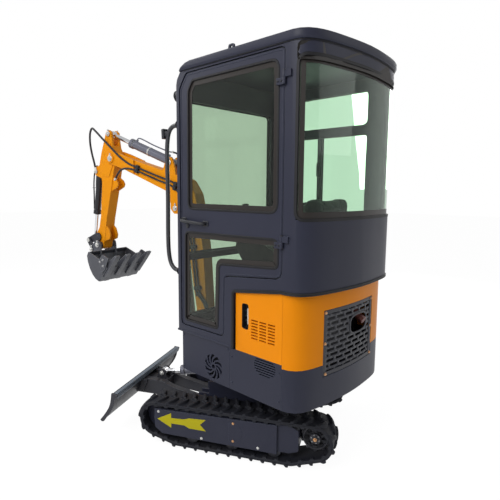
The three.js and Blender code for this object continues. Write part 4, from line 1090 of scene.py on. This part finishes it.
piece("dashFace", [plate(rect(-376, 1084, -276, 1182, 12), 76, 80.5, onBack, edge=2)], "black", "house")
piece("dashDial", [lathe((75.5, -326, 1145), (-1, 0, 0), [(0, 26), (2, 26), (3, 24)], 32)], "dial", "house")
piece("dashRim", [lathe((75.8, -326, 1145), (-1, 0, 0), [(0, 26.5), (0, 31), (5, 31), (6, 28), (4, 26.5)],
                        32)], "zinc", "house")
piece("headliner", [plate(fine(rounded([(120, -370), (120, 370), (-640, 370), (-640, -370)], 40)), 2228,
                          2238, onTop, edge=3)], "lining", "house")
print("cab interior done")

# Digging gear
frontPins = {
    "kingpost": [((75, 655), 74, 20), ((190, 480), 74, 14)],
    "boom": [((307, 1415), 54, 14), ((943, 1786), 74, 18), ((358, 1741), 55, 14)],
    "arm": [((983, 1978), 50, 14), ((1140, 1690), 46, 12)],
    "bucket_rocker": [((1228.5, 1130.3), 74, 12, 0.6)],
    "bucket": [((1108, 1098), 86, 15), ((1176.6, 1056.8), 90, 12)],
}


# A small plate above the pin with a bolt through it, both on the pin's outer face.
def keeper(p, y, radius):
    x, z = p
    low = z + radius + 4
    return [plate(rect(x - 6, low, x + 6, low + 18, 3), y - 3, y + 1,
                  edge=0.8)] + bolt((x, y + 1, low + 10), (0, 1, 0), 5)


for body, pins in frontPins.items():
    label = body.replace("_", "")
    piece(label + "PinHeads", [part for p in pins for part in pinHead(*p)], "zinc", body, mirrored=True)
    if body != "bucket_rocker":
        piece(label + "Keepers", [part for p in pins for part in keeper(*p)], "zinc", body, mirrored=True)

kingTop = (0, 0, 606)
piece("kingpostCap", [lathe(kingTop, (0, 0, 1), [(-0.5, 33), (5, 33), (8, 29), (8, 12), (14, 11), (16, 7)],
                            32)], "zinc", "kingpost")

# Rigid pipes down the boom's left side, held by clamps
clampShape = {"low": 50, "high": 74}
clampRear, clampFront = (295, 1573), (662, 1699)
boomPipes = {"Upper": [(662, 1712), (480, 1652), (300, 1592), (232, 1540), (176, 1440), (146, 1300),
                       (122, 1120), (100, 940), (82, 800)],
             "Lower": [(662, 1686), (480, 1624), (312, 1566), (254, 1516), (200, 1424), (170, 1290),
                       (146, 1112), (124, 936), (108, 800)]}
for label, line in boomPipes.items():
    piece("boomPipe" + label, [tube([(x, 62, z) for x, z in line], 7, 90, 12)], "hose", "boom")


# A block clamp across two pipes, with its bolt.
def clamp(x, z, tilt):
    turn = np.array([[math.cos(tilt), math.sin(tilt)], [-math.sin(tilt), math.cos(tilt)]])
    outline = rect(-14, -30, 14, 30, 5) @ turn + [x, z]
    low, high = clampShape["low"], clampShape["high"]
    return [plate(outline, low, high, edge=3)] + bolt((x, high, z), (0, 1, 0), 6)


piece("boomClamps", clamp(*clampFront, 0.32) + clamp(*clampRear, 0.34) + clamp(136, 1150, 1.42)
      + clamp(98, 860, 1.4), "black", "boom")
bigHose = [(662, 62, 1712), (740, 64, 1738), (830, 70, 1790), (930, 76, 1872), (1020, 78, 1944),
           (1100, 72, 2004),
           (1150, 62, 2028), (1180, 56, 1996), (1192, 50, 1920), (1180, 45, 1830), (1166, 40, 1770),
           (1156, 37, 1722)]
piece("armHoseOver", [tube(bigHose, 8, 120, 14)], "hose",
      ("boom", "arm", (790, 70, 1760), (1060, 76, 1975)))
lowHose = [(662, 62, 1686), (720, 66, 1700), (780, 68, 1706), (834, 66, 1694), (880, 56, 1664),
           (914, 44, 1636)]
piece("armHoseUnder", [tube(lowHose, 7.5, 60, 14)], "hose",
      ("boom", "arm", (760, 66, 1700), (905, 45, 1640)))
piece("armHoseFittings", hoseEnd((914, 44, 1636), (0.72, -0.2, -0.66), 7.5, nut=False)
      + hoseEnd((1156, 37, 1722), (-0.3, 0, -0.9), 8), "zinc", "arm")
bucketHoses = [[(1160, y, 1740), (1190, y, 1690), (1206, y, 1600), (1208, y, 1500), (1210, y, 1420),
                (1214, y * 0.7, 1384), (1205, y * 0.4, 1376)]
               for y in (14, -12)]
piece("bucketHoses", [tube(line, 5.5, 70, 12) for line in bucketHoses], "hose",
      ("arm", "bucket_cylinder", (1190, 0, 1700), (1206, 0, 1560)))
piece("bucketHoseTie", [sweep(curveThrough([(1199, -19, 1560), (1214, -16, 1560), (1215, 0, 1560),
                                            (1214, 18, 1560), (1199, 20, 1560), (1196, 0, 1560)], 40, True),
                              rect(-1.5, -5, 1.5, 5, 0.7, 2), (0, 0, 1), True)], "black", "bucket_cylinder")


# A gland nut at the barrel's mouth, weld beads, and a hard pipe from the far port back to the base.
def barrelKit(name, body, base, end, barrel, radius, finish, pipe):
    base, end = np.array([base[0], 0, base[1]], float), np.array([end[0], 0, end[1]], float)
    way = unit(end - base)
    up = np.array([-way[2], 0, way[0]])
    mouth = base + way * barrel
    parts = [lathe(mouth, way, [(0.3, radius * 0.64), (0.3, radius + 4), (2, radius + 5), (3, radius + 3),
                                (7, radius * 0.8), (8, radius * 0.64)],
                   28, True),
             lathe(mouth - way * 30, way, [(-3, radius), (0, radius + 3), (3, radius)], 28, True),
             lathe(base + way * (radius * 0.86 + 9), way, [(-2, radius), (1.5, radius + 1.6), (5, radius)],
                   28, True)]
    piece(name + "Gland", parts, finish, body)
    if pipe:
        far, near = mouth - way * 47.5 + up * (radius + 12), base + way * (radius + 23) + up * (radius + 12)
        line = [far - up * 14, far + up * 10 - way * 2, far + up * 17 - way * 22,
                (far + near) / 2 + up * 13, near + up * 16 + way * 34,
                near + up * 20 - way * 4, near + up * 26 - way * 30]
        piece(name + "Pipe", [tube(line, 5, 70, 10)], "grey", body)
        piece(name + "PipeBand", [lathe(base + way * barrel * 0.55, way,
                                        [(-6, radius + 0.2), (-5, radius + 1.8), (5, radius + 1.8),
                                                                          (6, radius + 0.2)], 28, True)],
              "zinc", body)


# Each ram: body, base and rod eye in x and z, barrel length and radius, finish of the gland, hard pipe or not
rams = {"armRam": ("arm_cylinder", (358, 1741), (983, 1978), 444, 32, "steel", True),
        "boomRam": ("boom_cylinder", (190, 480), (307, 1415), 556, 36, "steel", False),
        "bucketRam": ("bucket_cylinder", (1140, 1690), (1228.5, 1130.3), 346, 26, "ram", False),
        "bladeRam": ("blade_cylinder", (272, 336), (640, 276), 236, 30, "steel", False)}
for label, (body, base, end, barrel, radius, finish, pipe) in rams.items():
    barrelKit(label, body, base, end, barrel, radius, finish, pipe)

# The arm ram's hose, from the base end of its hard pipe down to the boom
ramHose = {"line": [(357, 0, 1815), (332, 0, 1808), (294, 0, 1776), (270, 0, 1722), (267, 0, 1680)],
           "radius": 6.5, "nut": (370, 0, 1820), "nutWay": (-0.935, 0, -0.355)}
piece("armRamHose", [tube(ramHose["line"], ramHose["radius"], 60, 12)], "hose",
      ("arm_cylinder", "boom", (345, 0, 1812), (268, 0, 1690)))
piece("armRamHoseNut", [lathe(ramHose["nut"], ramHose["nutWay"], [(0, 8.5), (14, 8.5), (15, 6.5)], 6)],
      "zinc", "arm_cylinder")
piece("armRamHoseFoot", hoseEnd(ramHose["line"][-1], (0, 0, -1), ramHose["radius"]), "zinc", "boom")


# Hoses that cross the swing, boom and blade joints start from points in the house's axes, in the boom's here.
def houseToFront(points):
    turn, origin = places["front"]
    return (place(points, "house") - origin) @ turn * 1000


for k in (0, 1):
    line = houseToFront(np.array([(140, 76 + 22 * k, 560), (200, 92 + 22 * k, 590),
                                  (258, 104 + 20 * k, 640), (312, 100 + 16 * k, 700)], float))
    line = np.concatenate([line, [(4 + 22 * k, 82 - 4 * k, 752), (40 + 24 * k, 68, 786)]])
    across = ("house", "kingpost", tuple(line[1]), tuple(line[4]))
    piece("supplyHose%d" % (k + 1), [tube(line, 8, 90, 12, (0, 0, 1))], "hose", across)
    rise = np.array([(40 + 24 * k, 68, 786), (60 + 24 * k, 65, 802), (82 + 26 * k, 63, 830)])
    piece("boomHose%d" % (k + 1), [tube(rise, 8.2, 24, 12)], "hose",
          ("kingpost", "boom", (40 + 24 * k, 66, 788), (80 + 26 * k, 63, 826)))
swingHoses = [[(-40, -205 - 16 * k, 600), (-10, -212 - 12 * k, 622), (24, -210 - 6 * k, 606),
               (44, -204, 588)] for k in (0, 1)]
piece("swingHoses", [tube(np.array(line, float), 5.5, 40, 10) for line in swingHoses], "hose", "house")
bladeHoses = [[(236, y, 340), (250, y, 372), (282, y, 388), (318, y * 0.6, 372)] for y in (-14, 14)]
piece("bladeHoses", [tube(line, 5.5, 40, 10) for line in bladeHoses], "hose",
      ("undercarriage", "blade_cylinder", (256, 0, 376), (310, 0, 376)))
print("hoses done")

# Boom and arm details
boomFin = rounded([(690, 1688), (752, 1712), (836, 1732), (846, 1748), (780, 1762), (708, 1742),
                   (680, 1712)], [4, 10, 4, 6, 24, 18, 8])
piece("boomFin", [plate(boomFin, 40, 49.5, edge=1.5)], "orange", "boom")
armSkin = rounded([(1056, 1660), (1076, 1748), (1050, 1836), (1014, 1930), (966, 1900), (924, 1820),
                   (922, 1770), (960, 1700), (990, 1640)],
                  [30, 20, 20, 20, 20, 20, 20, 20, 20])
piece("armDoubler", [plate(armSkin, 44, 48.5, edge=1.8)], "orange", "arm", mirrored=True)
armOpening = rounded([(1036, 1850), (1060, 1800), (1060, 1760), (1036, 1748), (1022, 1790)],
                     [8, 10, 10, 8, 10])
piece("armOpening", [plate(armOpening, 48.3, 49.1, edge=0.3)], "orange", "arm",
      mirrored=True)
piece("armPivotBoss", [lathe((943, 70, 1786), (0, 1, 0), [(-1, 34), (2, 34), (4, 31), (4, 22)], 28)],
      "orange", "boom", mirrored=True)
bucketShape = {"teeth": (-168, -56, 56, 168), "toothHalf": 22, "strips": (-120, 0, 120), "cutterFace": 209,
               "cutterBolts": ((932, 990), (902, 1008), (900, 960)), "lipHalf": 198}
toothHalf = bucketShape["toothHalf"]
toothCap = [(944, 880), (930, 908), (872, 984), (792, 1044), (776, 1038), (802, 1002), (858, 934),
            (910, 872)]
piece("toothCaps", [plate(rounded(inset(np.array(toothCap, float), -2.2), [4, 6, 8, 3, 3, 8, 8, 4], 2),
                          y - toothHalf, y + toothHalf, edge=3)
                     for y in bucketShape["teeth"]],
      "bucketPaint", "bucket")
piece("toothPins", [lathe((900, y + s * toothHalf, 920), (0, s, 0), [(-1, 6), (3, 6), (4, 4)], 14)
                    for y in bucketShape["teeth"] for s in (-1, 1)], "steel", "bucket")
piece("cutterBolts", bolts([(x, bucketShape["cutterFace"], z) for x, z in bucketShape["cutterBolts"]],
                           (0, 1, 0), 10), "steel", "bucket", mirrored=True)
bucketBack = np.array([(1094, 1024), (1086, 978), (1064, 922), (1036, 880), (1002, 848), (965, 831)], float)
wearLine = curveThrough([(x + 3, 0, z - 3) for x, z in bucketBack], 40)
piece("bucketWearStrips", [sweep(wearLine + [0, y, 0], rect(-24, -4, 24, 4, 2, 2))
                           for y in bucketShape["strips"]],
      "bucketPaint", "bucket")
piece("bucketLip", [plate(rounded([(870, 944), (884, 956), (934, 884), (966, 838), (960, 828), (920, 878)],
                                  [3, 3, 6, 3, 3, 6], 2), -bucketShape["lipHalf"], bucketShape["lipHalf"],
                          edge=2)],
      "bucketPaint", "bucket")
print("digging gear done")


# Light, floor and world
lights = {"aim": (-0.3, 0, 1.0), "white": (1, 1, 1),
          "rows": [("keyLight", 210, 3.5, (-0.8, 5.0, 4.2)), ("backLight", 30, 3.0, (-5.0, -2.5, 3.5)),
                   ("rimLight", 90, 3.0, (4.0, 2.0, 4.5)), ("rightFill", 70, 3.0, (0.5, -5.5, 3.0))]}
surroundings = {"ambient": 0.31, "shine": 0.45, "floorColour": (0.8, 0.8, 0.8, 1), "floorRough": 0.9,
                "glow": 1.1, "glowShare": 0.86, "half": 30, "drop": -0.001}


# An area light at its spot, its -Z turned to the aim.
def areaLight(name, power, size, spot):
    data = bpy.data.lights.new(name, "AREA")
    data.energy, data.size, data.color = power, size, lights["white"]
    light = bpy.data.objects.new(name, data)
    scene.collection.objects.link(light)
    ahead = unit(np.array(lights["aim"], float) - np.array(spot, float))
    side = unit(np.cross(ahead, [0, 0, 1]))
    matrix = np.eye(4)
    matrix[:3, :3] = np.stack([side, np.cross(side, ahead), -ahead], -1)
    matrix[:3, 3] = spot
    light.matrix_world = Matrix(matrix.tolist())


for row in lights["rows"]:
    areaLight(*row)


# White where the camera, a reflection or glass looks, and the ambient level for everything else.
def seenWhite(tree, s):
    ray = addNode(tree, "ShaderNodeLightPath")
    seen = maths(tree, "MAXIMUM", ray.outputs["Is Camera Ray"], ray.outputs["Is Transmission Ray"],
                 clamp=True)
    shine = maths(tree, "MULTIPLY", ray.outputs["Is Glossy Ray"], s["shine"])
    bright = maths(tree, "MULTIPLY", maths(tree, "MAXIMUM", seen, shine), 1 - s["ambient"])
    return maths(tree, "ADD", bright, s["ambient"])


world = bpy.data.worlds.new("world")
scene.world = world
world.use_nodes = True
sky = world.node_tree.nodes["Background"]
sky.inputs["Color"].default_value = (1, 1, 1, 1)
world.node_tree.links.new(seenWhite(world.node_tree, surroundings), sky.inputs["Strength"])

floorMaterial = bpy.data.materials.new("paleFloor")
floorMaterial.use_nodes = True
tree = floorMaterial.node_tree
shader = tree.nodes["Principled BSDF"]
shader.inputs["Base Color"].default_value = surroundings["floorColour"]
shader.inputs["Roughness"].default_value = surroundings["floorRough"]
glow, pick = addNode(tree, "ShaderNodeEmission"), addNode(tree, "ShaderNodeMixShader")
ray = addNode(tree, "ShaderNodeLightPath")
direct = maths(tree, "MAXIMUM", ray.outputs["Is Camera Ray"], ray.outputs["Is Glossy Ray"])
seen = maths(tree, "MAXIMUM", direct, ray.outputs["Is Transmission Ray"])
tree.links.new(maths(tree, "MULTIPLY", seen, surroundings["glowShare"]), pick.inputs[0])
glow.inputs["Strength"].default_value = surroundings["glow"]
tree.links.new(shader.outputs[0], pick.inputs[1])
tree.links.new(glow.outputs[0], pick.inputs[2])
tree.links.new(pick.outputs[0], tree.nodes["Material Output"].inputs["Surface"])
floorMesh = bpy.data.meshes.new("floor")
half, drop = surroundings["half"], surroundings["drop"]
floorMesh.from_pydata([(-half, -half, drop), (half, -half, drop), (half, half, drop), (-half, half, drop)],
                      [], [(0, 1, 2, 3)])
floorMesh.materials.append(floorMaterial)
floor = bpy.data.objects.new("floor", floorMesh)
scene.collection.objects.link(floor)
scene.view_settings.view_transform = "Standard"

print("ready")
